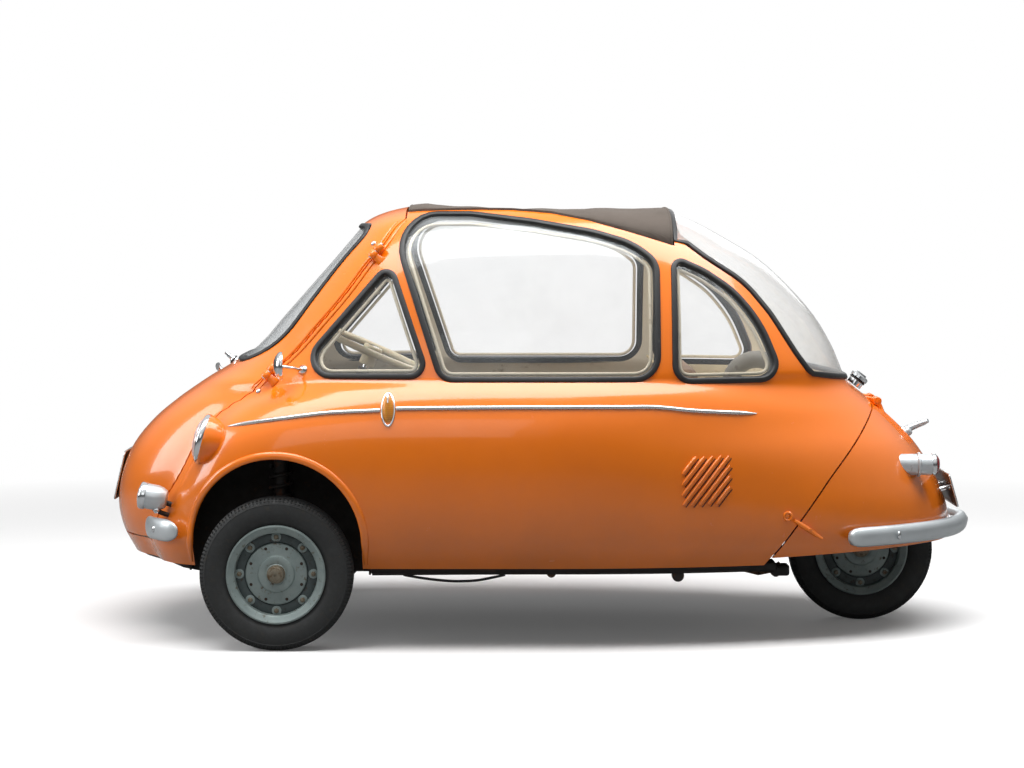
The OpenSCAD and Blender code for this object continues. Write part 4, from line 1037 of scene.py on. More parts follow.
# ---- Bumpers: round-nosed pressings with a bolt through each --------------------------------
def bar(first, last, z, offset, half, height, bends, stations, around=20):
    """A bumper bar following the skin, its ends rounded off."""
    def place(i, j):
        t = j / stations
        b = math.radians(first + (last - first) * t)
        reach = bends / (radius(b, z) * abs(math.radians(last - first)))
        near = min(t, 1 - t) / reach
        size = math.sqrt(max(1 - (1 - min(near, 1)) ** 2, 0.0))
        a = math.tau * (i % around) / around
        c, s = math.cos(a), math.sin(a)
        c = math.copysign(abs(c) ** 0.9, c)
        q = radius(b, z) + offset + half * size * c
        return Vector((q * math.cos(b), q * math.sin(b), z + height * size * s))
    made = wrapped(around, stations, place)
    return made


bumpers = Piece("front_quarter_bumpers", SILVER, CHROME)
bumpers.join(bar(19.0, 28.4, 338, 25, 13, 33, 52, 40), both=True)
bolt = math.radians(24)
n = skin(bolt, 338)
away = Vector((math.cos(bolt), math.sin(bolt), 0))
bumpers.join(lathe([(0, -14), (11, -14), (11, 26), (0, 26)], 24), toward(n, away), both=True)
bumpers.join(lathe([(0, 36), (10, 36), (10, 38.4), (8, 40.4), (4, 41.6), (0, 41.8)], 24),
             toward(n, away), finish=1, both=True)
bumpers.done("body", "silver_paint", "front_bumpers", sharp=50)

rear_bar = Piece("rear_bumper_bar", SILVER, CHROME)
rear_bar.join(bar(150.5, 209.5, 310, 36.8, 21.5, 29.5, 40, 72))
for turn in (158, 180, 202):
    b = math.radians(turn)
    place = toward(skin(b, 310), Vector((math.cos(b), math.sin(b), 0)))
    rear_bar.join(lathe([(0, 0.5), (16, 0.5), (16, 4), (12, 6), (12, 30), (0, 30)], 24), place)
    rear_bar.join(lathe([(0, 56), (13, 56.5), (12.6, 58.4), (9, 60.6), (5, 61.8), (0, 62)], 28),
                  place, finish=1)
rear_bar.done("tail", "silver_paint", "rear_bumper", sharp=50)

# ---- Fuel cap, mirror, door fittings --------------------------------------------------------
cap_piece = Piece("fuel_filler_cap", CHROME, RUBBER)
place = at(-962, 0, 728) @ Matrix.Rotation(math.radians(-38), 4, "Y")
cap_piece.join(lathe([(0, 4), (24, 4), (24, 24), (22.5, 26), (0, 26)], 40), place)
cap_piece.join(lathe([(24, 20), (27, 21), (27, 25), (24, 26)], 40), place, finish=1)
knurl = lathe([(0, 26), (24, 26), (28, 28), (28, 38), (25, 41), (20, 42), (0, 42.5)], 48)
rim_faces = [f for f in knurl.faces if abs(f.normal.z) < 0.2 and f.calc_center_median().z > 30]
bmesh.ops.inset_individual(knurl, faces=rim_faces, thickness=0.4, depth=-0.8)
cap_piece.join(knurl, place)
cap_piece.join(block((34, 9, 7), 2.4), place @ at(0, 0, 44))
cap_piece.done("body", "chrome", "fuel_cap", sharp=35)

mirror = Piece("wing_mirror", CHROME, GLASS)
foot, out = flank(707, 806, 1)
mirror.join(lathe([(0, -6), (15, -6), (15, 2), (13, 6), (8, 9), (6, 12), (0, 12)], 32),
            toward(foot, out))
head = foot + Vector((62, 62, 14))
arm = [foot + out * 8, foot + Vector((10, 26, 2)), foot + Vector((26, 44, 8)), head]
arm = [arm[0].lerp(arm[1], t / 4) if k == 0 else arm[k].lerp(arm[k + 1], t / 4)
       for k in range(3) for t in range(4)] + [head]
mirror.join(sweep(arm, circle(4.6, 12)))
face = toward(head, (1, 0.1, 0)) @ at(0, 0, -8)
mirror.join(lathe([(0, 0), (38, 0), (41, 1), (42, 4), (41.4, 8), (37, 14), (29, 20), (18, 24.6),
                   (8, 26.4), (0, 26.6)], 48), face)
mirror.join(lathe([(0, -0.4), (37.4, -0.4), (37.4, 0.4), (0, 0.4)], 40), face, finish=1)
mirror.done("body", "chrome", "mirror", sharp=40)

fittings = Piece("door_handle_and_spindle", CHROME, RUBBER)
grip = skin(math.radians(-17), 745, -10)
lean = Vector((0.85, -0.2, 0.5)).normalized()
fittings.join(lathe([(0, 2), (17, 2), (17, 16), (14, 20), (9, 23), (8.4, 40), (0, 44)], 32),
              toward(grip, lean))
start = grip + lean * 38
bend = [start, start + Vector((-1, 24, 6)), start + Vector((-3, 52, 12)),
        start + Vector((-6, 80, 17)), start + Vector((-10, 104, 21))]
fittings.join(sweep(bend, circle(8.4, 14, 0.75), sizes=[1.1, 1.05, 0.95, 0.8, 0.62]))
spindle = toward(skin(math.radians(4), 806, -8), (0.75, 0, 0.66))
fittings.join(lathe([(0, 0), (12, 0), (12, 14), (10, 17), (7, 18), (7, 32), (5.5, 34), (5.5, 43),
                     (3.5, 44.5), (0, 44.5)], 24), spindle)
fittings.join(lathe([(12, 8), (15, 8.6), (15, 12), (12, 13)], 24), spindle, finish=1)
fittings.done("front_door", "chrome", sharp=40)

# ---- Hinges, latches and buttons, painted over with the body ---------------------------
DOOR_AXIS = Vector((-0.65679, -0.121363, 0.744243))
DOOR_SIDE = Vector((0.55, -0.83, 0.02)).normalized()
DOOR_PINS = [Vector((845, 525, 755)) + DOOR_AXIS * 60, Vector((477, 457, 1172)) - DOOR_AXIS * 30]
PAD = [(-1, -0.5), (-0.7, -0.8), (0.7, -0.8), (1, -0.5), (1, 0.5), (0.7, 0.8), (-0.7, 0.8), (-1, 0.5)]


def hinge_half(made, pin, axis, reach, low, high, finish=0):
    """A rolled eye on its pin, an arm to the panel, and the arm's flared foot."""
    axis = Vector(axis)
    reach = reach - axis * reach.dot(axis)
    made.join(lathe([(6.2, low), (11.4, low), (13, low + 1.6), (13, high - 1.6), (11.4, high),
                     (6.2, high), (6.2, low)], 28), toward(pin, axis), finish=finish)
    middle = pin + axis * ((low + high) / 2)
    half = (high - low) / 2 - 1
    out = reach.normalized()
    line = [middle + out * 6] + [middle + reach * t for t in (0.35, 0.6, 0.8, 0.95, 1.1)]
    widths = [(half, 10.5), (half, 9.5), (half * 1.05, 9), (half * 1.2, 8), (half * 1.45, 7.5),
              (half * 1.6, 6)]
    up = axis.cross(out)

    def place(i, j):
        w, h = widths[j]
        s, t = PAD[i % 8]
        return line[j] + axis * (s * w) + up * (t * h)
    made.join(cap(wrapped(8, 5, place)), finish=finish)


hinges = Piece("fixed_hinge_halves", ENAMEL, CHROME)
swung = Piece("door_hinge_arms", ENAMEL, CHROME)
for pin in DOOR_PINS:
    hinge_half(hinges, pin, DOOR_AXIS, -28 * DOOR_SIDE + Vector((-16, -22, -14)), -24, -1)
    hinge_half(swung, pin, DOOR_AXIS, 30 * DOOR_SIDE + Vector((-12, -14, -10)), 1, 26)
    hinges.join(lathe([(0, -27.5), (5, -27.5), (7.6, -25.4), (7.6, -24), (6, -24), (6, 26),
                       (7.6, 26.4), (7, 28.6), (0, 29.4)], 20), toward(pin, DOOR_AXIS), finish=1)
TAIL_PIN = Vector((-1026, 0, 686))
tail_hooks = Piece("tail_hinges_and_latches", ENAMEL, CHROME)
for y in (-75, 75):
    pin = TAIL_PIN + Vector((0, y, 0))
    hinge_half(hinges, pin, (0, 1, 0), Vector((38, 0, 8)), -24, -1)
    hinge_half(tail_hooks, pin, (0, 1, 0), Vector((-17, 0, -35)), 1, 26)
    hinges.join(lathe([(0, -27), (6.8, -26), (6, -24), (6, 26), (6.8, 27), (0, 28)], 20),
                toward(pin, (0, 1, 0)))
# ring eyes of the tail latches, on the body just ahead of the shut line
eye, out = flank(-704, 381, 1, 3)
ring = [eye + Vector((11 * math.cos(math.tau * k / 24), 0, 11 * math.sin(math.tau * k / 24)))
        for k in range(24)]
hinges.join(sweep(ring, circle(4.4, 8), [out] * 24, closed=True), both=True)
hinges.join(lathe([(0, -3), (8, -3), (8, 1), (5, 3), (0, 3.4)], 20), toward(eye, out), both=True)
# rolled beads along the door's shut line: the body's gutter behind it, the door's own edge ahead
def beside_shut_line(shift, low=748, high=1240, count=60):
    """Points along the door's side edge, moved back along the skin by shift."""
    spots = []
    for k in range(count + 1):
        z = low + (high - low) * k / count
        b = math.radians(column(DOOR_ANGLE, z, 1))
        b += shift / radius(b, z)
        spots.append((skin(b, z, 0.4), outward(b, z)))
    return spots


taper = [min(1, 0.2 + 0.16 * min(k, 60 - k)) for k in range(61)]
for made, shift in ((hinges, 12), (swung, -13)):
    spots = beside_shut_line(shift)
    made.join(sweep([p for p, _ in spots], circle(5.2, 12, 0.8), [n for _, n in spots], sizes=taper),
              both=True)
# round nipples by the hinges
for x, z in ((506, 1172), (838, 742)):
    spot, out = flank(x, z, 1, 0)
    hinges.join(lathe([(0, -2), (8, -2), (8.6, 1), (7, 4.6), (3.4, 6.6), (0, 7)], 20),
                toward(spot, out), finish=1, both=True)
hinges.done("body", "orange_paint", "hinge_brackets", sharp=45)
swung.done("front_door", "orange_paint", "door_fittings", sharp=45)
hook = [flank(x, z, 1, d)[0] for x, z, d in
        ((-722, 369, 9), (-738, 358, 10), (-756, 346, 10), (-772, 336, 7), (-786, 326, 3),
         (-798, 318, 4), (-808, 312, 9))]
tail_hooks.join(sweep(hook, [(-8, -3), (8, -3), (8, 2), (5, 4), (-5, 4), (-8, 2)], [out] * 7,
                      sizes=[0.55, 0.8, 1, 1, 0.9, 0.6, 0.45]), both=True)
spot, out = flank(-768, 339, 1, 0)
tail_hooks.join(lathe([(0, -30), (7, -30), (7, 12), (4, 14), (0, 14)], 20), toward(spot, out),
                both=True)
tail_hooks.done("tail", "orange_paint", "tail_fittings", sharp=45)

# Slim frames behind the glass, and the catch of each quarter light
frames = Piece("inner_window_frames", LINING, CHROME)
for window in (SIDE_WINDOW, VENT_WINDOW, QUARTER_WINDOW):
    spots = [flank(p.x, p.y, 1, -16) for p in spaced(grown(rounded(window), -26), 22)]
    frames.join(sweep([p for p, _ in spots], circle(5, 10), [n for _, n in spots], closed=True),
                both=True)
spot, out = flank(548, 1018, 1, -22)
frames.join(lathe([(0, -8), (10, -8), (10, 2), (7, 5), (0, 6)], 20), toward(spot, out), finish=1,
            both=True)
frames.join(sweep([spot, spot + Vector((12, -4, 14)), spot + Vector((22, -8, 30))],
                  circle(4.5, 10), sizes=[1.2, 1, 0.7]), finish=1, both=True)
frames.done("body", "beige_trim", sharp=60)

# ---- Plates, tail lamps, tail handle -----------------------------------------------------
def blank_plate(name, place, width, height, thick, body_name, node):
    """A bare pressed plate with a raised bright rim and two screws."""
    made = Piece(name, PLATE, TRIM, CHROME)
    made.join(block((thick, width - 6, height - 6), 0.7), place @ at(0, 0, height / 2))
    w, h, r = width / 2 - 3, height / 2 - 3, 12
    corners = [Vector((s * (w - r) + r * math.cos(t), u * (h - r) + r * math.sin(t)))
               for s, u, q in ((1, 1, 0), (-1, 1, 1), (-1, -1, 2), (1, -1, 3))
               for t in [math.pi / 2 * (q + k / 6) for k in range(7)]]
    rim = [(0, p.x, p.y + height / 2) for p in corners]
    made.join(sweep(rim, circle(3, 10), [(1, 0, 0)] * len(rim), closed=True), place, finish=1)
    for y in (-width * 0.3, width * 0.3):
        for sign in (-1, 1):
            made.join(lathe([(0, 0), (6, 0), (6, 1.4), (4, 2.8), (0, 3)], 16),
                      place @ at(sign * 0.9, y, height / 2)
                      @ Matrix.Rotation(math.radians(90 * sign), 4, "Y"), finish=2)
    reach = -1 if "front" in name else 1
    for y in (-60, 60):
        made.join(lathe([(0, 0), (8, 0), (8, 26), (0, 26)], 16),
                  place @ at(0, y, height / 2) @ Matrix.Rotation(math.radians(90 * reach), 4, "Y"),
                  finish=2)
    made.done(body_name, "plate_black", node, sharp=45)


front_x = skin(0, 384).x + 9
tail_at = skin(math.pi, 364).x - 14
blank_plate("blank_front_plate", at(front_x, 0, 384) @ Matrix.Rotation(math.radians(-13), 4, "Y")
            @ at(-1, 0, 0), 255, 155, 2, "front_door", "front_plate")
blank_plate("blank_rear_plate", at(tail_at, 0, 364) @ Matrix.Rotation(math.radians(16), 4, "Y")
            @ at(1, 0, 0), 340, 110, 2, "tail", "rear_plate")

tail_lights = Piece("tail_lamp_cans", SILVER, RUBY, CHROME, GLASS)
to_rear = at(-1070, 250, 504) @ Matrix.Rotation(math.radians(-90), 4, "Y")
tail_lights.join(lathe([(0, 0), (32, 0), (32, 96), (31, 101)], 48), to_rear, both=True)
tail_lights.join(lathe([(34, 56), (37, 58), (37, 64), (33, 66), (32, 60)], 48), to_rear, both=True)
tail_lights.join(lathe([(31, 100), (33.4, 101), (33.6, 109), (31, 113), (29, 113.6), (28, 110)], 48),
                 to_rear, finish=2, both=True)
tail_lights.join(lathe([(29.4, 112), (26, 118), (18, 122.6), (8, 124.4), (0, 124.8)], 40), to_rear,
                 finish=1, both=True)
lamp = at(-1128, 0, 566) @ Matrix.Rotation(math.radians(38), 4, "Y")
tail_lights.join(block((56, 80, 26), 9, 4), lamp @ at(2, 0, 14), finish=0)
tail_lights.join(block((40, 62, 3), 1), lamp @ at(3, 0, 28), finish=3)
# turning handle beside the plate lamp
root = skin(math.pi, 588)
lever = [root + Vector((-4, 0, 2)), root + Vector((-26, 0, 12)), root + Vector((-44, 2, 20)),
         root + Vector((-60, 6, 26)), root + Vector((-72, 12, 31))]
tail_lights.join(sweep(lever, circle(13, 18, 0.8), sizes=[1.2, 1.05, 1.0, 0.9, 0.6]), finish=0)
tail_lights.join(lathe([(0, -6), (18, -6), (18, 2), (14, 6), (10, 8), (0, 8)], 28),
                 toward(root, outward(math.pi, 588)), finish=2)
tail_lights.done("tail", "silver_paint", "tail_lamps", sharp=45)

# ---- Hood cloth -----------------------------------------------------------------------
def roof_at(x):
    """Height of the cloth's edge and of its crown at x."""
    for a, b in zip(ROOF, ROOF[1:]):
        if b[0] <= x <= a[0]:
            u = (a[0] - x) / (a[0] - b[0])
            return [a[k] + (b[k] - a[k]) * u for k in (1, 2)]
    return ROOF[-1][1:]


BOWS = (398, 210, 10, -180, -368)      # the hood sticks under the cloth
HOOD_FRONT, HOOD_REAR = 406, -375
ACROSS, ALONG = 56, 78                 # faces of the cloth


def hood(i, j):
    """The cloth, taut over its bows and sagging a little between them, with side pleats."""
    x = HOOD_FRONT - (HOOD_FRONT - HOOD_REAR) * j / ALONG
    edge, crown = roof_at(x)
    b = halved(0.0, math.pi, lambda t: radius(t, edge + 10) * math.cos(t) < x)
    half = radius(b, edge + 10) * math.sin(b) - 1
    t = math.pi * i / ACROSS
    c, s = math.cos(t), math.sin(t)
    near = min(abs(x - bow) for bow in BOWS)
    sag = 3.4 * (1 - math.exp(-(near / 45) ** 2)) * s ** 0.5
    fold = 1.2 * noise.noise(Vector((x / 34, t * 2.0, 0.3))) * (1 - 0.5 * s)
    drop = max(sag + fold, -0.2)
    low = edge + 10.4 - (3.2 if abs(c) > 0.995 else 0)
    return Vector((x, (half - 0.3 * drop) * math.copysign(abs(c) ** 0.72, c),
                   low + (crown - edge - 10.4) * s ** 0.9 - drop * (0.25 + 0.75 * s)))


cloth = Piece("hood_cloth_panel", HOOD_CLOTH)
cloth.join(wrapped(ACROSS, ALONG, hood))
if sum(f.normal.z for f in cloth.bm.faces) < 0:
    bmesh.ops.reverse_faces(cloth.bm, faces=cloth.bm.faces)
area = sum(f.calc_area() for f in cloth.bm.faces) / 1e6
cloth = cloth.done("body", "grey_fabric", "fabric_roof", sharp=180)
thick = cloth.modifiers.new("thickness", "SOLIDIFY")
thick.thickness, thick.offset = 0.0022, -1
hem = Piece("hood_hem", HOOD_CLOTH, TRIM)
for end in (0, ACROSS):
    side_line = [hood(end, j) for j in range(ALONG + 1)]
    lift = Vector((0, 1 if side_line[0].y > 0 else -1, 0))
    hem.join(sweep([p + lift * 0.8 + Vector((0, 0, 4)) for p in side_line],
                   [(-5, -1), (5, -1), (5, 0.6), (0, 1.4), (-5, 0.6)], [lift] * (ALONG + 1)))
hem.join(sweep([hood(i, ALONG) + Vector((2, 0, -1)) for i in range(ACROSS + 1)], circle(3.4, 8)))
hem.join(sweep([hood(i, 0) + Vector((-2, 0, -1.6)) for i in range(ACROSS + 1)], circle(3.0, 8)))
hem = hem.done("body", "grey_fabric", sharp=60)

# ---- Bench seat ---------------------------------------------------------------------------
HALF_BENCH = 486


def pad_shape(low, high, lean, pleat, faces_up):
    """A stuffed pad: crowned between its seams, pulled in along sewn channels."""
    (x0, z0), (x1, z1) = low, high
    mx, mz, a, b = (x0 + x1) / 2, (z0 + z1) / 2, (x1 - x0) / 2 - 3, (z1 - z0) / 2 - 3
    length, around = 120, 64

    def place(i, j):
        y = HALF_BENCH * (2 * j / length - 1)
        t = math.tau * (i % around) / around
        c, s = math.cos(t), math.sin(t)
        end = min(j, length - j) / 5
        size = math.sqrt(max(1 - (1 - min(end, 1)) ** 2, 0.02))
        shown = max(s, 0) if faces_up else max(c, 0)
        channel = 1 - abs(math.cos(math.pi * y / pleat)) ** 0.4
        dent = 7 * channel * min(1, shown * 1.8) + 4 * (abs(y) / HALF_BENCH) ** 6
        x = (a - dent * abs(c)) * math.copysign(abs(c) ** 0.42, c)
        z = (b - dent * abs(s)) * math.copysign(abs(s) ** 0.42, s)
        if faces_up:
            z += 5 * shown * math.cos(math.pi * x / (2.4 * a)) - 7 * shown * (abs(y) < 330) * (
                math.cos(math.pi * y / 330) ** 2 if abs(y) > 20 else 1)
        else:
            x += 6 * shown * math.cos(math.pi * z / (2.4 * b))
        x, z = x * (1 - 0.12 * (1 - size)), z * size ** 0.35
        return Vector((mx + x + lean * (z + b) / (2 * b), y, mz + z))
    return cap(wrapped(around, length, place))


for name, low, high, lean, up_, node in (
        ("bench_cushion", (-398, 331), (28, 452), 0, True, "seat_cushion"),
        ("bench_backrest", (-438, 463), (-330, 808), -24, False, "seat_backrest")):
    seat = Piece(name, SEAT_CLOTH)
    seat.join(pad_shape(low, high, lean, 81, up_))
    seat = seat.done("body", "beige_trim", node, sharp=180)
cord_line = Piece("seat_seam_piping", PIPING)
for x, z in ((20, 441), (22, 344), (-346, 797), (-334, 476)):
    cord_line.join(sweep([(x, y, z) for y in range(-474, 475, 12)], circle(4, 8)))
cord_line.done("body", "beige_trim", sharp=60)

# ---- Steering wheel, pedals, lever ----------------------------------------------------------
COLUMN = Vector((-0.402084, 0, 0.915603))
HUB_AT = Vector((520, 215, 850))
hand = Piece("steering_wheel_rim", IVORY, CHROME)
wheel_spot = toward(HUB_AT, COLUMN)
ring = [(179 * math.cos(math.tau * k / 96), 179 * math.sin(math.tau * k / 96), 0) for k in range(96)]
grip = [1 + 0.05 * (k % 4 == 0) for k in range(96)]
hand.join(sweep(ring, circle(10.4, 16), closed=True, sizes=grip), wheel_spot)
for turn in (90, 210, 330):
    spoke = [(t, 0, -4 - 6 * math.sin(math.pi * (t - 20) / 150) ** 2) for t in range(20, 171, 10)]
    for y in (-7, 7):
        hand.join(sweep([(x, y * (1 - 0.5 * (x - 20) / 150), z) for x, _, z in spoke],
                        circle(4.2, 10)),
                  wheel_spot @ Matrix.Rotation(math.radians(turn), 4, "Z"), finish=0)
hand.join(lathe([(9, -50), (22, -50), (24, -46), (24, -14), (28, -10), (30, -6), (30, 7), (27, 11),
                 (20, 12)], 40), wheel_spot)
hand.join(lathe([(0, 13.6), (10, 13.4), (17, 12.4), (21, 10.6), (22, 8)], 32), wheel_spot, finish=1)
hand.join(lathe([(0, -150), (9, -150), (9, -44), (0, -44)], 24), wheel_spot, finish=1)
hand.done("steering_wheel", "cream_plastic", "steering_wheel", sharp=50)

controls = Piece("pedals_and_levers", CHASSIS, RUBBER, IVORY, CHROME)
for y, wide in ((110, 46), (180, 46), (-10, 34)):
    controls.join(sweep([(930, y, 224), (912, y, 270), (896, y, 310), (876, y, 352)], circle(7, 10)))
    controls.join(block((10, wide, 58), 3), at(874, y, 352) @ Matrix.Rotation(math.radians(-28), 4, "Y"),
                  finish=1)
lever = [(390, -330, 214), (380, -330, 300), (360, -328, 390), (352, -320, 470), (372, -312, 520)]
controls.join(sweep(lever, circle(7, 12), sizes=[1.2, 1, 1, 0.9, 0.8]), finish=3)
knob = bmesh.new()
bmesh.ops.create_uvsphere(knob, u_segments=20, v_segments=14, radius=19)
controls.join(knob, at(376, -311, 536), finish=2)
controls.join(lathe([(0, 0), (44, 0), (40, 8), (24, 22), (14, 46), (0, 48)], 28), at(390, -330, 214),
              finish=1)
# speedometer pod on the column, its dial left plain
pod = toward(HUB_AT - COLUMN * 150 + Vector((26, 0, 22)), (-0.86, 0, 0.5))
controls.join(lathe([(0, -46), (26, -44), (44, -24), (50, 0), (50, 6), (47, 8), (44, 6), (44, 0)], 40),
              pod, finish=0)
controls.join(lathe([(44.5, 3), (0, 3)], 40), pod, finish=2)
controls.join(lathe([(50, 2), (53, 3), (53, 8), (50, 10), (46, 9)], 40), pod, finish=3)
controls.done("body", "black_steel", sharp=45)

# ribbed rubber mat on the floor, ribs 24 mm apart
mat = Piece("floor_mat", RUBBER)
mat.join(block((860, 720, 5), 2), at(500, 0, 215.5))
for k in range(27):
    mat.join(block((820, 6, 3), 1.2, 1), at(500, -312 + 24 * k, 218.6))
mat.done("body", "black_rubber", sharp=45)

# ---- Engine, exhaust, springs ----------------------------------------------------------------
engine = Piece("air_cooled_engine", CAST, CHASSIS, EXHAUST, CHROME)
engine.join(block((258, 292, 150), 14, 3), at(-602, 0, 290))
engine.join(block((240, 220, 34), 10, 3), at(-600, 0, 229.5))
for k in range(7):
    engine.join(block((6, 296, 126), 2, 1), at(-684 + 28 * k, 0, 300))
for k in range(12):
    engine.join(block((168 - 2 * (k % 2), 172, 3.4), 1, 1), at(-610, 30, 372 + 12.5 * k))
engine.join(block((132, 140, 150), 18, 3), at(-610, 30, 448))
engine.join(block((150, 160, 34), 12, 3), at(-610, 30, 536), finish=0)
engine.join(lathe([(0, 0), (9, 0), (9, 12), (6, 14), (6, 20), (0, 20)], 6), at(-650, 30, 552), finish=3)
engine.join(lathe([(0, 0), (54, 0), (92, 10), (98, 26), (98, 40), (86, 46), (60, 40), (36, 30),
                   (0, 28)], 48), at(-600, 100, 440) @ AXIS_Y, finish=1)
for k in range(10):
    turn = Matrix.Rotation(math.tau * k / 10, 4, "Z")
    engine.join(block((40, 5, 16), 1, 1), at(-600, 100, 440) @ AXIS_Y @ turn @ at(60, 0, 44), finish=1)
engine.join(lathe([(0, 0), (26, 0), (26, 34), (20, 40), (20, 64), (30, 70), (30, 84), (0, 84)], 28),
            at(-560, -60, 470) @ Matrix.Rotation(math.radians(-90), 4, "X") @ at(0, 0, -70))
engine.join(sweep([(-640, 30, 400), (-660, -40, 380), (-690, -110, 340), (-712, -170, 300),
                   (-716, -220, 268), (-718, -250, 254)], circle(14, 16)), finish=2)
silencer = at(-715, -250, 250) @ Matrix.Rotation(math.radians(-90), 4, "Y")
engine.join(lathe([(0, 0), (20, 0), (38, 8), (41, 14), (41, 158), (42, 160), (42, 168), (41, 170),
                   (41, 314), (38, 322), (22, 330), (0, 330)], 40), silencer, finish=2)
engine.join(lathe([(11.6, 188), (14, 188), (14, 0), (11.6, 0)], 28),
            at(-1040, -250, 236) @ Matrix.Rotation(math.radians(-90), 4, "Y"), finish=2)
engine.done("body", "cast_metal", "engine", sharp=40)

springs = Piece("suspension_springs", CHASSIS)


def coil(x, y, low, high, r, turns, wire):
    """An upright coil spring."""
    n = turns * 20
    return sweep([(x + r * math.cos(math.tau * k / 20), y + r * math.sin(math.tau * k / 20),
                   low + (high - low) * k / n) for k in range(n + 1)], circle(wire, 8))


springs.join(coil(FRONT_AXLE, 472, 262, 520, 31, 8, 5), both=True)
springs.join(coil(-877, -105, 372, 640, 33, 8, 6))
springs.done("body", "black_steel", sharp=60)

# ---- Duct and brake cable -------------------------------------------------------------------
duct = Piece("heater_duct", HOSE, CHASSIS)
path = [(-560, 250, 690.4 + 52 * k / 8) for k in range(8)]
path += [(-640 + 80 * math.cos(math.radians(t)), 250, 742.4 + 80 * math.sin(math.radians(t)))
         for t in range(0, 181, 4)]
path += [(-720, 250, 742.4 - 52 * (k + 1) / 8) for k in range(8)]
duct.join(sweep(path, circle(25.6, 28), [(0, 1, 0)] * len(path),
                sizes=[1 + 0.045 * (k % 2) for k in range(len(path))]))
for x in (-560, -720):
    duct.join(lathe([(24, 0), (29, 0), (30, 3), (30, 10), (28.4, 12), (24, 12)], 32),
              at(x, 250, 692), finish=1)
duct.done("body", "grey_rubber", "air_hose", sharp=60)

# The cable's points, as in the part: x, and height under the pan
CABLE = [(418, 0), (380, -7), (330, -14), (268, -19), (205, -17), (160, -9), (118, 0)]
CABLE_Y, CABLE_Z = 470, 197.7          # beside the left sill, clipped under the pan
line = [Vector((x, CABLE_Y, CABLE_Z + z)) for x, z in CABLE]
for _ in range(2):
    fine = []
    for i, (p, q) in enumerate(zip(line, line[1:])):
        a, b = line[max(i - 1, 0)], line[min(i + 2, len(line) - 1)]
        fine += [p, (9 * (p + q) - a - b) / 16]
    line = fine + [line[-1]]
line = [p * 0.001 for p in line]
curve = bpy.data.curves.new("brake_cable_run", "CURVE")
curve.dimensions = "3D"
curve.bevel_depth, curve.bevel_resolution, curve.use_fill_caps = 0.004, 3, True
spline = curve.splines.new("POLY")
spline.points.add(len(line) - 1)
for point, p in zip(spline.points, line):
    point.co = (*p, 1)
cable = bpy.data.objects.new("brake_cable_run", curve)
scene.collection.objects.link(cable)
curve.materials.append(RUBBER)
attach(cable, "body")
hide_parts("brake_cable")
length = sum((q - p).length for p, q in zip(line, line[1:]))
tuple(line[0])

# ---- Underside: rails, cross tubes and brackets ------------------------------------------------
rails = Piece("underside_rails", CHASSIS, EXHAUST)
for y in (-250, 250):
    rails.join(block((1020, 34, 20), 4), at(-40, y, 192.5))
rails.join(block((34, 640, 20), 4), at(470, 0, 192.5))
rails.join(block((34, 640, 20), 4), at(-470, 0, 192.5))
rails.join(lathe([(0, -330), (14, -330), (14, 330), (0, 330)], 20),
           at(-20, 0, 184) @ AXIS_Y, finish=1)
rails.join(lathe([(0, 0), (15, 0), (18, 6), (18, 30), (15, 38), (0, 38)], 24),
           at(-390, 500, 198) @ Matrix.Rotation(math.radians(90), 4, "X"), finish=0)
# gear lever quadrant, exhaust clamp and stay that hang below the floor
rails.join(block((120, 90, 30), 8, 3), at(-640, 235, 196))
rails.join(block((46, 60, 34), 8, 3), at(-720, 225, 182))
rails.join(sweep([(-560, 230, 206), (-600, 232, 186), (-650, 236, 174), (-690, 236, 182),
                  (-716, 232, 200)], circle(9, 12)), finish=1)
rails.join(lathe([(0, 0), (15, 0), (15, 8), (9, 8), (9, 26), (14, 26), (14, 32), (0, 32)], 20),
           at(-700, 250, 178) @ AXIS_Y @ at(0, 0, -16), finish=0)
rails.done("body", "black_steel", sharp=45)

# ---- CAD nodes that stay take their finish ---------------------------------------------------
for node, wear in (("floor_pan", UNDERSEAL), ("wheel_housings", UNDERSEAL),
                   ("rear_bulkhead", LINING), ("steering_column", CHASSIS),
                   ("swing_arm", CHASSIS), ("front_suspension", CHASSIS),
                   ("knuckle_left", CAST), ("knuckle_right", CAST)):
    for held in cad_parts[node].material_slots:
        held.material = wear
# ---- Stage and light ------------------------------------------------------------------
floor_mesh = bmesh.new()
bmesh.ops.create_grid(floor_mesh, x_segments=4, y_segments=4, size=30)
mesh = bpy.data.meshes.new("studio_floor")
floor_mesh.to_mesh(mesh)
floor = bpy.data.objects.new("studio_floor", mesh)
scene.collection.objects.link(floor)
floor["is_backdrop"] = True
# Painted studio floor: matt white; far off it is seen as plain white
made, tree, shader = finish("studio_white", "#F4F4F4", Roughness=0.9)
mesh.materials.append(made)
away = add(tree, "VectorMath", {0: add(tree, "TexCoord").outputs["Object"]}, operation="LENGTH")
far = add(tree, "MapRange", {0: away.outputs["Value"], 1: 2.4, 2: 5.0}).outputs[0]
seen = add(tree, "LightPath").outputs["Is Camera Ray"]
bright = add(tree, "Math", {0: far, 1: 0.07}, operation="MAXIMUM").outputs[0]
share = add(tree, "Math", {0: bright, 1: seen}, operation="MULTIPLY").outputs[0]
bounce = add(tree, "Mix", {0: seen, 6: linear("#8C8C8C"), 7: linear("#F4F4F4")},
             data_type="RGBA").outputs[2]
tree.links.new(bounce, shader.inputs["Base Color"])
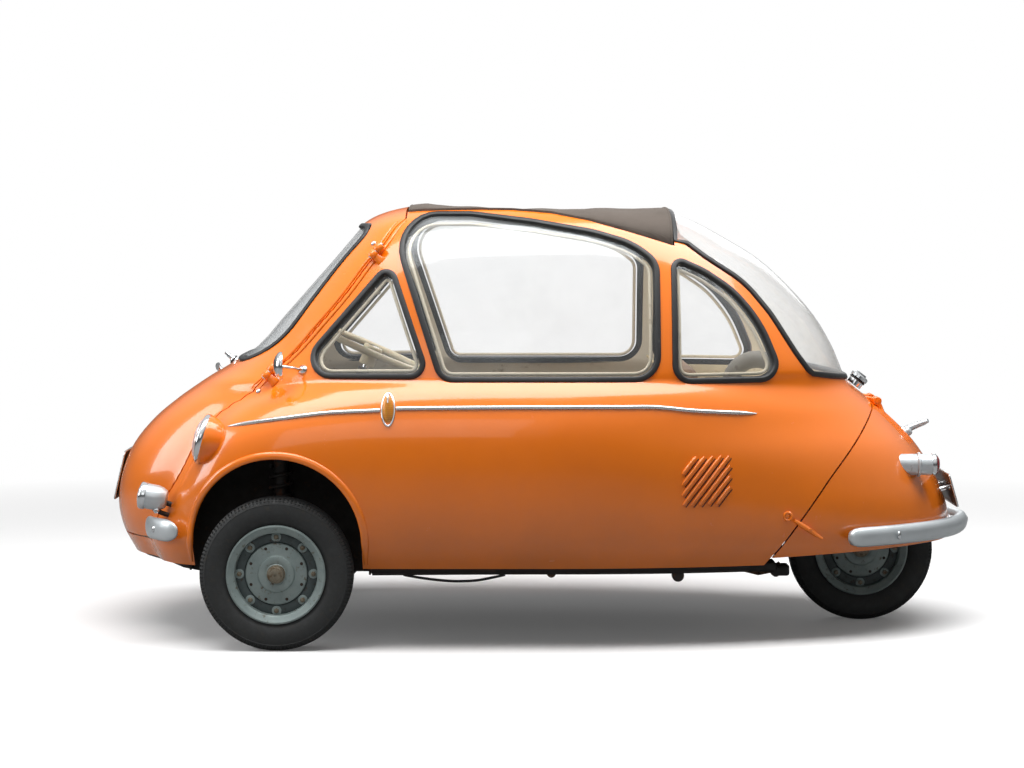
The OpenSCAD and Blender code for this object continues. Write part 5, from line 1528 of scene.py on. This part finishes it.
plain = add(tree, "Emission", {0: (1, 1, 1, 1), 1: 1.0}).outputs[0]
both = add(tree, "MixShader", {0: share, 1: shader.outputs[0], 2: plain}).outputs[0]
tree.links.new(both, tree.nodes["Material Output"].inputs[0])

world = bpy.data.worlds.new("studio")
scene.world = world
world.use_nodes = True
tree = world.node_tree
paths = add(tree, "LightPath")
# the studio is dark from the waist down, so polished sides keep their colour
height = add(tree, "SeparateXYZ", {0: add(tree, "TexCoord").outputs["Generated"]}).outputs[2]
glossy = add(tree, "MapRange", {0: height, 1: 0.12, 2: 0.62, 3: 0.12, 4: 0.95}).outputs[0]
plainly = add(tree, "Math", {0: paths.outputs["Is Camera Ray"],
                             1: paths.outputs["Is Transmission Ray"]}, operation="MAXIMUM").outputs[0]
lit = add(tree, "Mix", {0: paths.outputs["Is Glossy Ray"], 2: 0.17, 3: glossy},
          data_type="FLOAT").outputs[0]
strength = add(tree, "Mix", {0: plainly, 2: lit, 3: 1.0}, data_type="FLOAT").outputs[0]
tree.nodes["Background"].inputs[0].default_value = (1, 1, 1, 1)
tree.links.new(strength, tree.nodes["Background"].inputs[1])


def softbox(name, place, aim, width, height, power):
    lamp = bpy.data.lights.new(name, "AREA")
    lamp.shape, lamp.size, lamp.size_y, lamp.energy = "RECTANGLE", width, height, power
    made = bpy.data.objects.new(name, lamp)
    scene.collection.objects.link(made)
    made.location = place
    made.rotation_euler = (Vector(aim) - Vector(place)).to_track_quat("-Z", "Y").to_euler()


softbox("overhead", (-0.5, 0.9, 4.4), (-0.3, 0.3, 0), 7.2, 2.6, 400)
softbox("front_fill", (1.5, 6.5, 2.6), (0, 0, 0.7), 3.0, 2.0, 20)
# a small lamp in the cabin lifts the lining and the wheel
softbox("cabin_lamp", (0.05, 0.0, 1.2), (0.05, -0.01, 0.4), 0.7, 0.5, 3.5)
softbox("nose_light", (6.0, 0.6, 2.6), (0.6, 0, 0.7), 2.6, 3.4, 150)
softbox("far_fill", (-1.5, -6.0, 2.8), (0, 0, 0.7), 3.0, 2.0, 40)

low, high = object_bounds()
